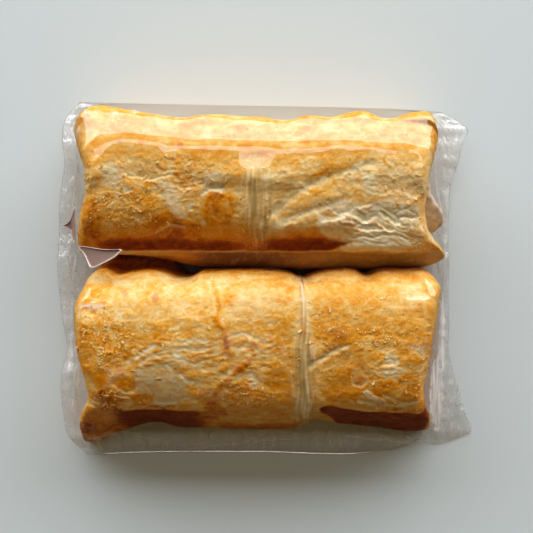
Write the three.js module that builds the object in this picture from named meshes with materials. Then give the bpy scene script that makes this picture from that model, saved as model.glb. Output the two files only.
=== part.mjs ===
// Two baked sausage rolls lying side by side in a sealed bag of clear film.
// The bag can't be opened without breaking it, so the pack is one closed solid. Its top is the taut film,
// which lies on both rolls, sags into the valley between them and falls steeply to the table. At both ends
// the film is pinched into a thin crimped seal. The right seal sticks out in an ear at each corner.
// X runs along the rolls, Y across them and Z up. The origin is the middle of the base.
// Lengths are millimetres.
import * as THREE from 'three';

// --- Driving dimensions ---
const PACK_LENGTH = 180;
const PACK_WIDTH = 156;
const FILM_GAP = 1.8; // the film rests on the crust's highest puffs, above the rolls' plain form
const FILM_SAG = 0.003; // downward curvature of the film between its supports, per millimetre
const WRAP_PULL = 3; // the film is drawn tighter round the rolls than along them
const SEAL_THICKNESS = 1.2;
const SEAL_HEIGHT_LEFT = 7;
const SEAL_HEIGHT_RIGHT = 5;
const SEAL_WIDTH_LEFT = 4.5;
const SEAL_START_RIGHT = 76.5; // X where the right seal begins, all along that end
const CRIMP_PITCH = 7;
const CRIMP_DEPTH = 0.35;
const SEAL_RISE = 7; // length over which the flat base rises to a seal

// Each roll: its section from near foot over the top to far foot as [Y, Z], its two ends as [Y, X],
// and the X of the groove across it.
const ROLLS = [
  {
    section: [
      [-66, 0], [-63.2, 10.5], [-57.4, 23], [-51.4, 33], [-47.4, 35.9], [-41, 38.3], [-33, 40],
      [-22, 41.3], [-14, 41.2], [-7, 39.4], [-1.6, 35], [2.2, 28.5], [4.4, 11], [5, 0],
    ],
    left: [
      [-72, -79], [-67.8, -81], [-60, -79], [-48, -72], [-41.9, -71.4], [-24.8, -74.6], [-9.9, -75.3],
      [4, -72],
    ],
    right: [[-66, 72.4], [-60, 71], [-53, 66.9], [-43, 62.6], [-26, 65], [-9.5, 67.5], [0, 70.3], [5, 69]],
    groove: 14.9,
  },
  {
    section: [
      [5.4, 0], [5, 14], [8.2, 24.2], [11.4, 27.2], [15.8, 32.2], [21.4, 37.4], [26, 39.5], [31, 40.7],
      [38, 41.5], [48.6, 42.4], [54.2, 41.55], [58, 39.6], [62.4, 37], [65.2, 34], [67, 29], [68.5, 10],
      [69, 0],
    ],
    left: [
      [5, -76.5], [13.5, -77.6], [27.6, -75], [35, -72.8], [43.5, -73.2], [59, -77.6], [64, -78.2],
      [69, -78],
    ],
    right: [
      [5, 66], [8.5, 74.4], [10.4, 75.2], [13.7, 70.5], [20.6, 65], [26, 62.8], [34, 63], [41.5, 64.3],
      [56, 67.6], [66, 68.4],
    ],
    groove: -3.5,
  },
];
const END_ROUNDING = 8;
const GROOVE_DEPTH = 1;
const GROOVE_HALF_WIDTH = 6;

// Outline of the film on the table: each edge as [share along it, coordinate].
const LEFT_EDGE = [
  [0, -79], [0.03, -82.5], [0.07, -86], [0.14, -88.2], [0.24, -88.3], [0.3, -86.8], [0.42, -89], [0.5, -90],
  [0.64, -90], [0.76, -89], [0.81, -87.4], [0.94, -87.4], [0.98, -84.5], [1, -82.5],
];
const RIGHT_EDGE = [
  [0, 85], [0.015, 90], [0.06, 88], [0.125, 85], [0.2, 81.5], [0.25, 79.8], [0.35, 79.6], [0.5, 79.2],
  [0.7, 79.6], [0.765, 80.2], [0.85, 83.8], [0.9, 85.2], [0.94, 87.5], [0.965, 84.5], [1, 77.5],
];
const NEAR_EDGE = [
  [0, -78], [0.16, -76.8], [0.45, -76.6], [0.78, -76.5], [0.83, -75.2], [0.88, -71.4], [0.93, -73.6],
  [1, -70],
];
const FAR_EDGE = [[0, 78], [0.3, 76.8], [0.6, 76], [0.9, 74.6], [1, 73.5]];
const EAR_HEIGHT = 1.8; // the near ear lies almost on the table
const EAR_SHARE = 0.3; // share of the width over which the right seal comes down to it
const CORNER_SHARE = 0.06; // share of the width over which a seal comes down to the table at a corner

// --- Mesh resolution ---
const COLUMNS = 72;
const ROWS = 62;
const RELAXING_PASSES = 1400;
const OVER_RELAXATION = 1.85;

const { lerp, clamp, smoothstep } = THREE.MathUtils;

// A smooth curve through [place, value] points, read at one place.
function through(points, place) {
  const last = points.length - 1;
  if (place <= points[0][0]) return points[0][1];
  if (place >= points[last][0]) return points[last][1];
  const k = points.findIndex((p, i) => i < last && place < points[i + 1][0]);
  const slope = (i) => {
    const [a, b] = [points[Math.max(i - 1, 0)], points[Math.min(i + 1, last)]];
    return (b[1] - a[1]) / (b[0] - a[0]);
  };
  const [x0, y0] = points[k];
  const [x1, y1] = points[k + 1];
  const span = x1 - x0;
  const t = (place - x0) / span;
  const [s0, s1] = [slope(k) * span, slope(k + 1) * span];
  const rise = y0 * (1 + 2 * t) * (1 - t) ** 2 + y1 * t * t * (3 - 2 * t);
  return rise + s0 * t * (1 - t) ** 2 + s1 * t * t * (t - 1);
}

const bell = (distance, spread) => Math.exp(-((distance / spread) ** 2));

// Height of a roll's top above the table at one place, 0 beside it.
function rollTop(roll, x, y) {
  const [near, far] = [roll.section[0][0], roll.section[roll.section.length - 1][0]];
  if (y <= near || y >= far) return 0;
  const fromEnd = Math.min(x - through(roll.left, y), through(roll.right, y) - x);
  if (fromEnd <= 0) return 0;
  const rounding = Math.sqrt(1 - (1 - clamp(fromEnd / END_ROUNDING, 0, 1)) ** 3);
  const groove = GROOVE_DEPTH * bell(x - roll.groove, GROOVE_HALF_WIDTH);
  return Math.max(through(roll.section, y) - groove, 0) * rounding;
}

// Place on the table of one share of the length and the width of the film's outline.
function onTable(u, v) {
  return [
    lerp(through(LEFT_EDGE, v), through(RIGHT_EDGE, v), u),
    lerp(through(NEAR_EDGE, u), through(FAR_EDGE, u), v),
  ];
}

// How far a point lies on the way to a seal: 0 or less over the flat base, 1 or more in the seal.
function intoSeal(x, v) {
  const short = x < 0 ? x - through(LEFT_EDGE, v) - SEAL_WIDTH_LEFT : SEAL_START_RIGHT - x;
  return 1 - short / SEAL_RISE;
}

// Middle of a seal's thickness, crimped into small waves along the end.
function sealHeight(x, y, v) {
  const rightHeight = lerp(EAR_HEIGHT, SEAL_HEIGHT_RIGHT, smoothstep(v, 0, EAR_SHARE));
  const level = x < 0 ? SEAL_HEIGHT_LEFT : rightHeight;
  const atCorner = smoothstep(v, 0, CORNER_SHARE) * smoothstep(1 - v, 0, CORNER_SHARE);
  const crimp = Math.min(CRIMP_DEPTH, level - SEAL_THICKNESS) * Math.sin((y / CRIMP_PITCH) * 2 * Math.PI);
  return SEAL_THICKNESS / 2 + (level - SEAL_THICKNESS / 2 + crimp) * atCorner;
}

// Grid of the film's top: a taut membrane that rests on the rolls, held along its outline and seals.
function filmTop() {
  const points = [];
  for (let j = 0; j <= ROWS; j++) {
    for (let i = 0; i <= COLUMNS; i++) {
      const [u, v] = [i / COLUMNS, j / ROWS];
      const [x, y] = onTable(u, v);
      const edge = i === 0 || i === COLUMNS || j === 0 || j === ROWS;
      const sealed = intoSeal(x, v) >= 1;
      const floor = Math.max(...ROLLS.map((roll) => rollTop(roll, x, y))) + FILM_GAP;
      const sealTop = sealHeight(x, y, v) + (edge ? 0 : SEAL_THICKNESS / 2);
      const atFold = j === 0 || j === ROWS;
      const held = edge || sealed;
      points.push({ x, y, v, held, floor, z: held ? (sealed && !atFold ? sealTop : 0) : floor });
    }
  }
  const stepX = PACK_LENGTH / COLUMNS;
  const stepY = PACK_WIDTH / ROWS;
  const [alongX, alongY] = [1 / stepX ** 2, WRAP_PULL / stepY ** 2];
  const row = COLUMNS + 1;
  for (let pass = 0; pass < RELAXING_PASSES; pass++) {
    points.forEach((p, k) => {
      if (p.held) return;
      const pullX = alongX * (points[k - 1].z + points[k + 1].z);
      const pullY = alongY * (points[k - row].z + points[k + row].z);
      const taut = (pullX + pullY - FILM_SAG) / (2 * (alongX + alongY));
      p.z = Math.max(p.floor, p.z + OVER_RELAXATION * (taut - p.z));
    });
  }
  return points;
}

// Height of the film's underside: flat on the table, rising to the seals.
function filmBottom({ x, y, v }) {
  const rise = smoothstep(intoSeal(x, v), 0, 1);
  return rise * Math.max(sealHeight(x, y, v) - SEAL_THICKNESS / 2, 0);
}

// The pack's closed surface: the film's top, its flat base, and the rising strips between base and seals.
function packGeometry() {
  const top = filmTop();
  const row = COLUMNS + 1;
  const at = (i, j) => j * row + i;
  const positions = top.flatMap((p) => [p.x, p.y, p.z]);
  const faces = [];
  const quad = (a, b, c, d) => faces.push(a, b, c, a, c, d);
  for (let j = 0; j < ROWS; j++) {
    for (let i = 0; i < COLUMNS; i++) quad(at(i, j), at(i + 1, j), at(i + 1, j + 1), at(i, j + 1));
  }

  // The underside shares the outline with the top and has its own points inside it.
  const isEdge = (i, j) => i === 0 || i === COLUMNS || j === 0 || j === ROWS;
  const under = new Map();
  const below = (i, j) => {
    if (isEdge(i, j)) return at(i, j);
    const key = at(i, j);
    if (!under.has(key)) {
      under.set(key, positions.length / 3);
      positions.push(top[key].x, top[key].y, filmBottom(top[key]));
    }
    return under.get(key);
  };
  const columns = [...Array(row).keys()];
  const flatFrom = columns.find((i) => i > 0 && columnIsFlat(top, i, at));
  const flatTo = columns.findLast((i) => i < COLUMNS && columnIsFlat(top, i, at));
  for (let j = 0; j < ROWS; j++) {
    for (let i = 0; i < COLUMNS; i++) {
      if (i >= flatFrom && i < flatTo) continue;
      quad(below(i, j), below(i, j + 1), below(i + 1, j + 1), below(i + 1, j));
    }
  }
  const rim = [];
  for (let i = flatFrom; i < flatTo; i++) rim.push(below(i, 0));
  for (let j = 0; j < ROWS; j++) rim.push(below(flatTo, j));
  for (let i = flatTo; i > flatFrom; i--) rim.push(below(i, ROWS));
  for (let j = ROWS; j > 0; j--) rim.push(below(flatFrom, j));
  const outline = rim.map((k) => new THREE.Vector2(positions[3 * k], positions[3 * k + 1]));
  THREE.ShapeUtils.triangulateShape(outline, []).forEach(([a, b, c]) => faces.push(rim[a], rim[c], rim[b]));

  const geometry = new THREE.BufferGeometry();
  geometry.setAttribute('position', new THREE.Float32BufferAttribute(positions, 3));
  geometry.setIndex(faces);
  geometry.computeVertexNormals();
  return geometry;
}

// True if the film's underside lies on the table all along one column of the grid.
function columnIsFlat(top, i, at) {
  return [...Array(ROWS + 1).keys()].every((j) => filmBottom(top[at(i, j)]) === 0);
}

const GOLDEN_PASTRY = 0xd39a4e;
const pastryUnderFilm = new THREE.MeshStandardMaterial({ color: GOLDEN_PASTRY, roughness: 0.35, metalness: 0 });

const pack = new THREE.Mesh(packGeometry(), pastryUnderFilm);
pack.name = 'clear_bag';

const sausageRollPack = new THREE.Group();
sausageRollPack.add(pack);

export default sausageRollPack;
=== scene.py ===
from itertools import product

import bmesh
import bpy
import numpy as np
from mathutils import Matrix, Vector
from mathutils.bvhtree import BVHTree


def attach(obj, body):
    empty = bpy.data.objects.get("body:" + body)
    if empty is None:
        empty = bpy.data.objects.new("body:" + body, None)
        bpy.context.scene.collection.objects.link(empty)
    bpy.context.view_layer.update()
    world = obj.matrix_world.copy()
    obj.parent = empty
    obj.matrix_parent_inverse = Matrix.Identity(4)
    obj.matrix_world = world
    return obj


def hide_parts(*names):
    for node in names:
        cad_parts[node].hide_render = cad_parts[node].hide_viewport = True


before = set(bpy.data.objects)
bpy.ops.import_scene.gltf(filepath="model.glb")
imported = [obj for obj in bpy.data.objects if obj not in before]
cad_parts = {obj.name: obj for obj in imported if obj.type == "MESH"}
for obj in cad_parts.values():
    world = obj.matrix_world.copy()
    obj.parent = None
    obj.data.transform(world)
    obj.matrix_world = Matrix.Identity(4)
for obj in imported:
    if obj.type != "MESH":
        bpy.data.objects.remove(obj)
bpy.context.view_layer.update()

MM = 0.001


# ---------------------------------------------------------------- curves and noise

def smoothstep(value, low, high):
    share = np.clip((np.asarray(value, float) - low) / (high - low), 0, 1)
    return share * share * (3 - 2 * share)


def between(value, low, full, fading, gone):
    """Rises from 0 to 1 between the first two values, and falls back to 0 between the last two."""
    return smoothstep(value, low, full) * smoothstep(-value, -gone, -fading)


def bell(distance, spread):
    return np.exp(-((distance / spread) ** 2))


def through(points, place):
    """A smooth curve through (place, value) points, read at any places."""
    xs, ys = np.array(points, float).T
    slopes = np.gradient(ys, xs)
    place = np.clip(place, xs[0], xs[-1])
    k = np.clip(np.searchsorted(xs, place, side="right") - 1, 0, len(xs) - 2)
    span = xs[k + 1] - xs[k]
    t = (place - xs[k]) / span
    rise = ys[k] * (1 + 2 * t) * (1 - t) ** 2 + ys[k + 1] * t * t * (3 - 2 * t)
    return rise + span * (slopes[k] * t * (1 - t) ** 2 + slopes[k + 1] * t * t * (t - 1))


def stretched(x, y, z, *sizes):
    """Places as points for noise, whose features then have these sizes along X, Y and Z."""
    return np.stack([place / size for place, size in zip((x, y, z), sizes)], axis=1)


GRADIENTS = np.array([g for g in product((-1, 0, 1), repeat=3) if sum(map(abs, g)) == 2], float)
CELL_PRIMES = (73856093, 19349663, 83492791)
SEED_PRIME = 2654435761
MIXING_PRIME = 1274126177
LARGEST_MARK = 0x7FFFFFFF
SPOT_STEPS = np.array([97, 89, 83])  # steps in which a strewn point is placed within its cell
SPOT_STRIDES = (1, 97, 97 * 89)
SHARE_STEPS = 251
LAYERED_PEAK = 1.4


def scatter(cells, seed):
    """A repeatable whole number for each cell of a 3-D grid."""
    ix, iy, iz = (cells[:, k].astype(np.int64) * prime for k, prime in enumerate(CELL_PRIMES))
    mark = ix ^ iy ^ iz ^ (seed * SEED_PRIME)
    mark = (mark ^ (mark >> 13)) * MIXING_PRIME & LARGEST_MARK
    return mark ^ (mark >> 16)


def noise(points, seed):
    """Smooth noise from about -1 to 1, with features one unit across."""
    cell = np.floor(points)
    inside = points - cell
    fade = inside ** 3 * (inside * (inside * 6 - 15) + 10)
    total = np.zeros(len(points))
    for corner in product((0, 1), repeat=3):
        corner = np.array(corner)
        slope = GRADIENTS[scatter(cell + corner, seed) % len(GRADIENTS)]
        weight = np.where(corner == 1, fade, 1 - fade).prod(axis=1)
        total += weight * ((inside - corner) * slope).sum(axis=1)
    return total


def layered_noise(points, seed, octaves=3):
    total = sum(noise(points * 2 ** k, seed + k) / 2 ** k for k in range(octaves))
    return total / LAYERED_PEAK


def cell_noise(points, seed):
    """Distances to the two nearest of points strewn one to a cell, and a share of its own for the nearest."""
    cell = np.floor(points)
    far_off = 9.0
    nearest = np.full(len(points), far_off)
    second = np.full(len(points), far_off)
    share = np.zeros(len(points))
    for step in product((-1, 0, 1), repeat=3):
        other = cell + np.array(step)
        mark = scatter(other, seed)
        digits = [mark // stride % steps for stride, steps in zip(SPOT_STRIDES, SPOT_STEPS)]
        distance = np.linalg.norm(points - (other + np.stack(digits, axis=1) / SPOT_STEPS), axis=1)
        closer = distance < nearest
        second = np.where(closer, nearest, np.minimum(second, distance))
        nearest = np.where(closer, distance, nearest)
        share = np.where(closer, mark % SHARE_STEPS / SHARE_STEPS, share)
    return nearest, second, share


def segment_distance(x, y, start, end):
    """How far places are from the straight line between two points."""
    (ax, ay), (bx, by) = start, end
    ex, ey = bx - ax, by - ay
    t = np.clip(((x - ax) * ex + (y - ay) * ey) / (ex * ex + ey * ey), 0, 1)
    return np.hypot(x - ax - t * ex, y - ay - t * ey)


def trail(x, y, points, width):
    """How near a place is to a line through points: 1 on it, falling off over about its width."""
    nearest = np.min([segment_distance(x, y, *ends) for ends in zip(points[:-1], points[1:])], axis=0)
    return bell(nearest, width)


def depth_inside(x, y, corners):
    """Distance from a closed outline, above zero inside it."""
    nearest = np.full_like(x, np.inf)
    inside = np.zeros(x.shape, bool)
    for (ax, ay), (bx, by) in zip(corners, np.roll(corners, -1, axis=0)):
        nearest = np.minimum(nearest, segment_distance(x, y, (ax, ay), (bx, by)))
        if by != ay:
            inside ^= ((ay > y) != (by > y)) & (x < ax + (bx - ax) * (y - ay) / (by - ay))
    return np.where(inside, nearest, -nearest)


def blot(x, y, oval, ragged, seed):
    """How much a place lies in an uneven oval, 0 to 1. An oval is (X, Y, half length, half width, turn)."""
    px, py, length, width, turn = oval
    c, s = np.cos(np.radians(turn)), np.sin(np.radians(turn))
    dx, dy = x - px, y - py
    distance = np.hypot((dx * c + dy * s) / length, (dy * c - dx * s) / width)
    level = np.ones_like(x)
    broad = noise(stretched(x, y, level * seed * 3.7, 3.2, 3.2, 1), seed)
    fine = noise(stretched(x, y, level * seed * 1.3, 1.1, 1.1, 1), seed + 5)
    return smoothstep(-(distance + ragged * (broad + 0.45 * fine)), -1.22, -0.85)


def blurred(values, reach):
    """Values of a grid averaged over a small square, closed in its second direction."""
    for _ in range(2):
        total = sum(np.roll(values, k, axis=1) for k in range(-reach, reach + 1)) / (2 * reach + 1)
        padded = np.pad(total, ((reach, reach), (0, 0)), mode="edge")
        values = sum(padded[k:k + len(total)] for k in range(2 * reach + 1)) / (2 * reach + 1)
    return values


# ---------------------------------------------------------------- meshes

DOWN = Vector((0, 0, -1))
LOOK_FROM = 100  # the height from which a surface is looked for


def make_piece(name, points, faces, material, attributes=None):
    """A mesh object from points in millimetres, with a float attribute for each named array."""
    mesh = bpy.data.meshes.new(name)
    mesh.from_pydata((np.asarray(points) * MM).tolist(), [], [tuple(f) for f in faces])
    mesh.shade_smooth()
    for key, values in (attributes or {}).items():
        mesh.attributes.new(key, "FLOAT", "POINT").data.foreach_set("value", np.asarray(values, np.float32))
    mesh.materials.append(material)
    piece = bpy.data.objects.new(name, mesh)
    bpy.context.scene.collection.objects.link(piece)
    return piece


def point_outwards(piece):
    """Turns a closed mesh's faces so that they point out."""
    work = bmesh.new()
    work.from_mesh(piece.data)
    bmesh.ops.recalc_face_normals(work, faces=work.faces)
    work.to_mesh(piece.data)
    work.free()
    return piece


def ring_faces(rings, around):
    """Faces of a closed tube of rings that follow each other, each ring a closed loop of points."""
    i, j = np.meshgrid(np.arange(rings - 1), np.arange(around), indexing="ij")
    a = i * around + j
    b = i * around + (j + 1) % around
    return np.stack([a, b, b + around, a + around], axis=-1).reshape(-1, 4).tolist()


def capped_faces(rings, around):
    """Faces of a tube of rings, with one flat face over each end."""
    last = (rings - 1) * around
    return ring_faces(rings, around) + [tuple(range(around)), tuple(range(last + around - 1, last - 1, -1))]


def grid_normals(grid):
    """Unit normals of a grid of points, closed in its second direction."""
    along = np.gradient(grid, axis=0)
    around = (np.roll(grid, -1, axis=1) - np.roll(grid, 1, axis=1)) / 2
    normal = np.cross(around, along)
    return normal / np.maximum(np.linalg.norm(normal, axis=2, keepdims=True), 1e-9)


def height_at(tree, x, y):
    """Height at which a line from straight above meets a surface, or None where it misses."""
    hit = tree.ray_cast(Vector((x * MM, y * MM, LOOK_FROM * MM)), DOWN)[0]
    return None if hit is None else hit.z / MM


# ---------------------------------------------------------------- the form of a roll

ROLL_COLUMNS = 380
RING_TOP = 214  # points round the part of a ring that shows
RING_BASE = 8  # points along the hidden base
RING_SAMPLES = 600  # fine steps round a section, from which the ring's points are picked
TOP_DENSITY = 1.5  # how much closer the points lie on the top
TOP_STARTS = (22, 33)
BASE_HEIGHT = 0.35
END_RINGS = 12
END_ROUNDING = 6.5
FOOT_ROUNDING = 2.5  # the rounding is tighter near the foot
FOOT_REACH = (5, 13)
END_SHARE = 0.8  # share of the wall that the rounding takes
RECESS = 4.0
RECESS_BRINK = 0.6
FAR_DRAWN_IN = (0.1, 0.28)  # shares of the height, top down, between which the far side meets its line
BASE_STARTS = 0.35  # share of the height, top down, at which an end turns towards its base line

# Sections go from the near foot over the top to the far foot, as (Y, Z). An end is the X at each Y, and its
# base is the same at the table. The foot and the far edge are the Y at each X. The meat's tongue is where it
# sticks out at the right end, as (Y, half width, reach).
FAR_ROLL = dict(
    name="far_roll",
    section=[
        (6.3, 0.4), (5.2, 2.6), (5, 8), (5, 14), (5.8, 20), (8.2, 24.2), (11.4, 27.2), (13.2, 29.6),
        (15.8, 32.2), (18.2, 34.6), (21.4, 37.4), (26, 39.5), (31, 40.7), (38, 41.5), (45, 42.2),
        (48.6, 42.4), (50.4, 42.28), (52.6, 41.98), (54.2, 41.55), (58, 39.6), (62.4, 37), (65.2, 34),
        (67, 29), (67.6, 22), (67, 13), (64.5, 5), (61.5, 0.8),
    ],
    left=[
        (5, -76.5), (13.5, -77.6), (15.7, -77), (21.7, -75.8), (27.6, -74.2), (35, -72), (43.5, -72.4),
        (50, -74.8), (59, -77.6), (64, -78.2), (69, -78),
    ],
    left_base=[(5, -76), (14, -78), (40, -76.5), (69, -77)],
    right=[
        (5, 66), (6.3, 71.5), (8.4, 74.4), (10, 74.4), (13, 72), (16.3, 68.6), (20.4, 65.4), (26, 63.6),
        (34, 63.8), (41.5, 65), (56, 69.2), (66, 70),
    ],
    right_base=[(5, 62), (6.6, 68), (8.5, 74.2), (10.4, 74.4), (13, 72), (17, 69), (40, 67), (66, 68)],
    foot=[
        (-80, 12), (-66, 11.5), (-58, 10.4), (-50, 9.4), (-42, 8.4), (-36, 7.2), (-31, 5.9), (-26, 5.2),
        (0, 4.8), (45, 4.6), (58, 5.2), (70, 5.6), (77, 6.4),
    ],
    far_edge=[
        (-76, 68), (-69, 70.9), (-60, 70), (-47, 67.8), (-31, 65.7), (-26, 67), (-20, 67.4), (-8, 66.4),
        (0, 66), (4, 64.9), (9, 64.9), (13, 66.2), (18, 67), (26, 66.4), (32, 67.6), (39, 68.8), (46, 66.2),
        (50, 65.6), (57, 67.6), (62, 68.6), (67, 68.2), (70, 66),
    ],
    foot_at=5.4, far_at=67.6, middle=36,
    meat=dict(y=38.5, z=18, half_width=19, half_height=12.5, left=-72.5, right=67, tongue=(24, 8, 7.5)),
)
NEAR_ROLL = dict(
    name="near_roll",
    section=[
        (-64.6, 0.4), (-65.6, 2.4), (-65.1, 6), (-63.2, 10.5), (-60.4, 16.5), (-57.4, 23), (-54.4, 28.5),
        (-51.4, 33), (-47.4, 35.9), (-41, 38.3), (-33, 40), (-22, 41.3), (-14, 41.2), (-7, 39.4),
        (-1.6, 35), (2.2, 28.5), (3.9, 20), (4.4, 11), (5, 4), (4.6, 0.8),
    ],
    left=[
        (-72, -79), (-67.8, -81), (-60, -79), (-54.8, -76.6), (-48, -72.2), (-41.9, -72.2), (-34, -74.3),
        (-24.8, -75.7), (-16, -76.6), (-9.9, -76.8), (-3.3, -75.1), (4, -74.6),
    ],
    left_base=[(-72, -79), (-67, -81), (-55, -78), (-30, -76), (4, -74)],
    right=[
        (-66, 72.4), (-60, 69.8), (-56, 67.2), (-52, 65.2), (-46, 63.4), (-41, 63.2), (-37, 63.6),
        (-26, 65.6), (-16, 67.8), (-9.5, 69), (0, 72), (5, 71),
    ],
    right_base=[(-66, 72.5), (-58, 70), (-45, 66), (-20, 67.5), (5, 69)],
    foot=[
        (-81, -70.6), (-76, -71.2), (-71, -70.2), (-65.4, -67.3), (-59.5, -65.1), (-45, -62.8),
        (-40.6, -64.2), (-24.7, -64.9), (-0.7, -65.7), (14.7, -64.1), (19, -61.9), (29, -62.8), (44, -64.3),
        (68.5, -66.1), (73, -65),
    ],
    far_edge=[
        (-76, 2.5), (-72, 3.9), (-66, 5.6), (-60.5, 3.3), (-54, 4.2), (-47, 4.8), (-41, 3.4), (-36.5, 1.6),
        (-32, 1.2), (-26.5, 4), (-21, 4.4), (-8, 4.6), (4, 4.4), (10, 3.4), (15, 1), (19, 2.8), (26, 4.4),
        (36, 4.6), (41, 2.6), (45, 4.4), (57, 4.8), (66, 4.2), (71, 1),
    ],
    foot_at=-65.6, far_at=3.9, middle=-31,
    meat=dict(y=-30, z=18.5, half_width=25, half_height=13, left=-73.2, right=61.5, tongue=(-8, 20, 6)),
)


def far_crest(x, y):
    """A fall towards the left end, and the swollen open layers near the right end."""
    left_fall = 2.0 * smoothstep(-x, 67, 78) * bell(y - 52, 10)
    open_layers = 7.6 * between(y, 9.8, 12.2, 9, 26) * between(x, 24, 38, 61, 68)
    brow = 1.8 * bell(y - 19.5, 4.5) * between(x, -8, 4, 26, 36)
    return open_layers + brow - left_fall


# The far roll's top from its crest to its far shoulder, as (X, Y) lines: where its rounding starts and ends,
# where the sloping facet begins (with its height as (X, Z)), and where the shoulder turns down.
ROUNDING_START = [
    (-76, 42), (-70, 43.5), (-66.5, 46), (-63, 50), (-60, 51.9), (-45, 51.1), (-30, 49.4), (-15, 46.6),
    (-7, 45.6), (1, 44.9), (7, 45), (13, 46.9), (28, 48.7), (44, 48.2), (55, 47.5), (58, 46.2),
    (61.5, 42.5), (64, 40), (70, 38),
]
ROUNDING_END = [
    (-76, 44), (-70, 45.5), (-66.5, 48.2), (-63, 51.6), (-60, 53.1), (-45, 52.5), (-30, 51.2), (-15, 50.4),
    (-7, 49.2), (1, 49.1), (7, 49.8), (13, 50.1), (28, 50.6), (44, 50.4), (55, 49.3), (58, 48.3),
    (61.5, 45.2), (64, 42), (70, 40),
]
FACET_BRINK = [
    (-76, 56), (-67, 55), (-60, 54.8), (-45, 53.8), (-30, 52.9), (-15, 52.8), (-7, 52.5), (1, 52.7),
    (7, 52), (28, 51.9), (44, 51.8), (55, 50.6), (62, 49), (70, 46.5),
]
FACET_HEIGHT = [
    (-76, 40.7), (-66, 41.1), (-60, 41.4), (-45, 41.5), (-30, 41.5), (-15, 41.2), (0, 40.95), (13, 41.2),
    (30, 41.4), (45, 41.45), (60, 41.3), (70, 41.1),
]
SHOULDER = [(-76, 66.1), (-57, 66), (-30, 65), (0, 61.6), (29, 60.2), (54, 60.6), (60, 60.2), (70, 60)]
TOP_SLOPES = (-3, 5, 8.2, 9.6, 18.5, 21.5, 28, 42, 50)  # degrees, at each of the places in far_top
# How far the top falls at the left end, and where that starts, as (Y, distance left of the middle).
LEFT_FALL = 2.6
LEFT_FALL_STARTS = [(44, 72), (50, 70), (54, 66), (56, 64.5), (67, 71)]


def far_top(x, y, z):
    """Heights with the crest and the far facet of the far roll given their slopes."""
    lines = (ROUNDING_START, ROUNDING_END, FACET_BRINK, SHOULDER)
    start, end, brink, shoulder = (through(line, x) for line in lines)
    places = (start - 6, start - 1, start, end, brink, brink + 1.5)
    places += (shoulder - 0.6, shoulder + 0.6, shoulder + 2.5)
    steepness = np.tan(np.radians(TOP_SLOPES))

    def fall_to(place):
        total = np.zeros_like(place)
        for a, b, first, last in zip(places, places[1:], steepness, steepness[1:]):
            gone = np.clip(place - a, 0, b - a)
            total = total + gone * (first + (last - first) * gone / (2 * (b - a)))
        return total

    left_fall = LEFT_FALL * smoothstep(-x - through(LEFT_FALL_STARTS, y), 0, 10)
    top = through(FACET_HEIGHT, x) + fall_to(brink) - fall_to(y) - left_fall
    share = smoothstep(y - start, -12, -5) * (1 - smoothstep(y - shoulder, 0.5, 4)) * smoothstep(z, 30, 34)
    return z + share * (top - z)


def near_skirt(x):
    """How far the near roll's base spreads under the far roll's drawn-in left end."""
    return 5.5 * smoothstep(-x, 30, 45)


def closed_ring(section):
    """The section as an even ring of points: many from foot to foot, and a few back along the base."""
    ys, zs = np.array(section, float).T
    reach = np.concatenate([[0], np.cumsum(np.hypot(np.diff(ys), np.diff(zs)))])
    across, up = list(zip(reach, ys)), list(zip(reach, zs))
    fine = np.linspace(0, reach[-1], RING_SAMPLES)
    density = 1 + TOP_DENSITY * smoothstep(through(up, fine), *TOP_STARTS)
    filled = np.cumsum(density) - density[0]
    place = np.interp(np.linspace(0, filled[-1], RING_TOP), filled, fine)
    top = np.stack([through(across, place), through(up, place)], axis=1)
    back = np.linspace(0, 1, RING_BASE + 2)[1:-1, None]
    base = top[-1] * (1 - back) + top[0] * back
    base[:, 1] = BASE_HEIGHT
    return np.concatenate([top, base])


def meat_ring(meat, around):
    """The oval of the meat, with one point for each point of the pastry's ring."""
    centre = np.array([meat["y"], meat["z"]])
    aim = around - centre
    size = np.array([meat["half_width"], meat["half_height"]])
    return centre + aim / np.linalg.norm(aim / size, axis=1, keepdims=True)


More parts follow.
